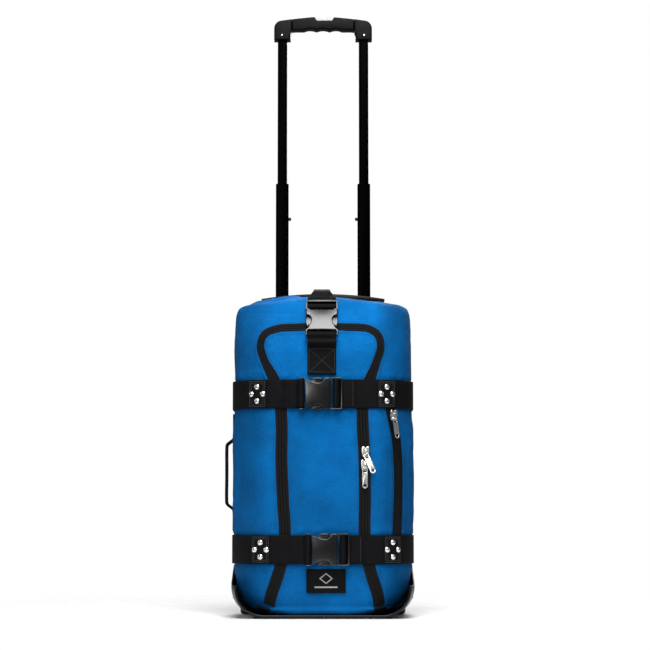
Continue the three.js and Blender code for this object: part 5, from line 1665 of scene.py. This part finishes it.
def make_grip():
    low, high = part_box("grip")
    middle_y = (low.y + high.y) / 2
    depth = (high.y - low.y) / MM
    matrix = Matrix.Translation((0, middle_y, 0)) @ Matrix.Rotation(math.pi / 2, 4, "X")
    look = LOOKS["grip_plastic"]
    half_width, bottom, leg_width, top = high.x / MM, low.z / MM, 30, high.z / MM
    leg_in, seam, palm = half_width - leg_width, 57.6, bottom + 18.5
    top_line = [(45, top - 3), (20, top - 0.6), (0, top), (-20, top - 0.6), (-45, top - 3)]
    bar = [(-seam, palm - 0.8), (-52, palm)] + grip_scallops(palm)
    bar += [(52, palm), (seam, palm - 0.8), (seam, top - 4.6)]
    bar = bar + top_line + [(-seam, top - 4.6)]
    centre_bar = slab("bar", [bar], -depth / 2 + 0.3, depth / 2 - 0.3, 2.4, matrix, look)
    ends = []
    for side in (1, -1):
        shape = [(seam + 0.25, palm - 2.8), (leg_in, palm - 9), (leg_in - 0.6, bottom)]
        shape += [(half_width, bottom), (half_width, top - 22)]
        shape += arc(half_width - 15, top - 22, 15, 15, 75, 8) + [(seam + 0.25, top - 4.4)]
        shape = [(side * x, z) for x, z in shape][::side]
        ends.append(slab("end", [shape], -depth / 2, depth / 2, 2.2, matrix, look))
    front_y = middle_y - depth / 2 * MM
    dimples, screws = [], []
    for side in (1, -1):
        spot = Vector((side * 76 * MM, front_y - 1 * MM, (bottom + 9) * MM))
        dimples.append(rod("dimple", spot, spot + BACKWARD * 3.5 * MM, 2.7 * MM, None, 28))
        head = [(0, 0), (2.3, 0), (2.3, 0.6), (1.8, 1.0), (0.9, 1.0), (0.9, 0.4), (0, 0.4)]
        turn = Matrix.Translation(spot + BACKWARD * 3.3 * MM) @ Matrix.Rotation(math.pi / 2, 4, "X")
        screws.append(lathe("screw", in_mm(head), turn, LOOKS["axle_steel"], 24))
    button_low, button_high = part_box("grip_button")
    pocket_loop = rounded_rect(35 * MM, 15 * MM, 3 * MM, 6)
    at_middle = Matrix.Translation((0, middle_y, 0))
    pocket = plate("pocket", [pocket_loop], (top - 13) * MM, (top + 6) * MM, 0.1 * MM, None, at_middle)
    cut_away(centre_bar, [pocket])
    for end, dimple in zip(ends, dimples):
        cut_away(end, [dimple])
    face, look = depth / 2, LOOKS["button_plastic"]
    inset = slab("inset", [inset_outline(top)], face - 0.6, face + 0.25, 0.25, matrix, look)
    grip = join("grip_moulding", [centre_bar, *ends])
    place(sharp_edges_shading(grip, 40), "inner_stage", "grip_plastic", "grip")
    place(join("grip_screws", screws), "inner_stage", "axle_steel")
    place(inset, "inner_stage", "button_plastic")
    loop = rounded_rect(button_high.x - button_low.x, button_high.y - button_low.y, 2.6 * MM, 6)
    button = plate("grip_button_cap", [loop], button_low.z, button_high.z, 1.0 * MM, look, at_middle)
    crown_button(button, button_high.z)
    place(button, "grip_button", "button_plastic", "grip_button")


def crown_button(button, top):
    for vertex in button.data.vertices:
        if vertex.co.z > top - 0.1 * MM:
            vertex.co.z -= 0.5 * MM * (vertex.co.x / (17 * MM)) ** 2


def inset_outline(top):
    """The pale panel in the front of the grip: flat above, bevelled towards its lower edge."""
    return [(-16, top - 1), (-11.6, top - 7.6), (16.4, top - 7.6), (20.8, top - 1), (2.4, top - 0.4)]


def make_bezel():
    bezel = copy_of("handle_bezel", "handle_bezel_moulding", LOOKS["moulded_plastic"])
    place(bevelled(bezel, 0.9 * MM), "bag", "moulded_plastic", "handle_bezel")


# ---------------------------------------------------------------- back panel
CHANNEL_X = 46 * MM
CHANNEL_PITCH = 132 * MM


def make_back_panel():
    """A padded panel with sewn channels and a bound edge."""
    low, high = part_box("back_panel")
    middle = (low + high) / 2
    wide, tall = (high.x - low.x) / 2, (high.z - low.z) / 2
    across, up = 96, 136
    vertices, count = [], across + 1
    for layer in (1, 0):
        for j in range(up + 1):
            for i in range(across + 1):
                u, v = 2 * i / across - 1, 2 * j / up - 1
                x, z = squircle(u, v, wide, tall, 22 * MM)
                edge = min(wide - abs(x), tall - abs(z))
                puff = (1 - math.exp(-max(0.0, edge) / (9 * MM))) ** 1.5
                beside = abs(abs(x) - CHANNEL_X)
                level = abs((z + CHANNEL_PITCH / 2) % CHANNEL_PITCH - CHANNEL_PITCH / 2)
                channel = beside if abs(x) < CHANNEL_X else min(beside, level)
                groove = math.exp(-((channel / (4.5 * MM)) ** 2))
                height = (0.8 + 5.2 * puff * (1 - 0.85 * groove)) * MM if layer else 0
                vertices.append((middle.x + x, low.y - 0.1 * MM + height, middle.z + z))
    corners = [j * count + i for j in range(up) for i in range(across)]
    face = [(k, k + 1, k + count + 1, k + count) for k in corners]
    total = count * (up + 1)
    faces = face + [tuple(i + total for i in reversed(f)) for f in face]
    border = [i for i in range(count)] + [j * count + across for j in range(1, up + 1)]
    border += [up * count + i for i in range(across - 1, -1, -1)] + [j * count for j in range(up - 1, 0, -1)]
    faces += [(a, b, b + total, a + total) for a, b in zip(border, border[1:] + border[:1])]
    panel = new_piece("back_panel_padded", vertices, faces, LOOKS["panel_fabric"])
    place(panel, "bag", "panel_fabric", "back_panel")
    edge = rounded_rect(2 * wide - 2 * MM, 2 * tall - 2 * MM, 22 * MM, 12, middle.x, middle.z)
    path = [Vector((x, low.y + 1.1 * MM, z)) for x, z in edge]
    path.append(path[0])
    outs = [Vector((0, 1, 0))] * len(path)
    sides = []
    for i in range(len(path)):
        along = (path[(i + 1) % (len(path) - 1)] - path[i - 1 if i else -2]).normalized()
        sides.append(along.cross(BACKWARD).normalized())
    binding = band("back_panel_binding", path, sides, 9 * MM, 2.2 * MM, LOOKS["webbing"], out=outs)
    place(binding, "bag", "webbing")


def squircle(u, v, wide, tall, radius):
    """Maps the unit square onto a rectangle with round corners."""
    x, z = u * wide, v * tall
    past_x, past_z = abs(x) - (wide - radius), abs(z) - (tall - radius)
    if past_x > 0 and past_z > 0:
        far = math.hypot(past_x, past_z)
        pull = max(past_x, past_z) / far
        x = math.copysign(wide - radius + past_x * pull, x)
        z = math.copysign(tall - radius + past_z * pull, z)
    return x, z


def finish_cad_nodes():
    """The hidden inner structure keeps its CAD shape, with a finished material."""
    slots = {s["node"]: s["material_slot"] for s in frame["record"]["subparts"]}
    for node in ("outer_tube_left", "outer_tube_right", "tube_bracket", "frame_board"):
        frame["nodes"][node].data.materials.clear()
        frame["nodes"][node].data.materials.append(LOOKS[slots[node]])


# ---------------------------------------------------------------- the whole bag
bpy.context.scene.view_settings.view_transform = "Standard"
add_camera()
add_studio()
add_floor()
make_body()
make_zips()
make_zip_end_tabs()
for level in ("upper", "lower"):
    for hand in ("left", "right"):
        make_strap(level, hand)
    make_buckle(level, flat_buckle_matrix(level))
make_rivets()
make_buckle("top", top_buckle_matrix())
make_top_straps()
make_top_handle()
make_side_handle()
for which in SLIDERS:
    make_slider(which)
make_name_patch()
make_tray()
make_feet()
for hand in ("left", "right"):
    make_wheel(hand)
    make_tube(f"middle_tube_{hand}", "middle_stage", 1.2 * MM, 4 * MM)
    make_tube(f"inner_tube_{hand}", "inner_stage", 1.2 * MM, 4 * MM)
make_lock_pins()
make_grip()
make_bezel()
make_back_panel()
finish_cad_nodes()
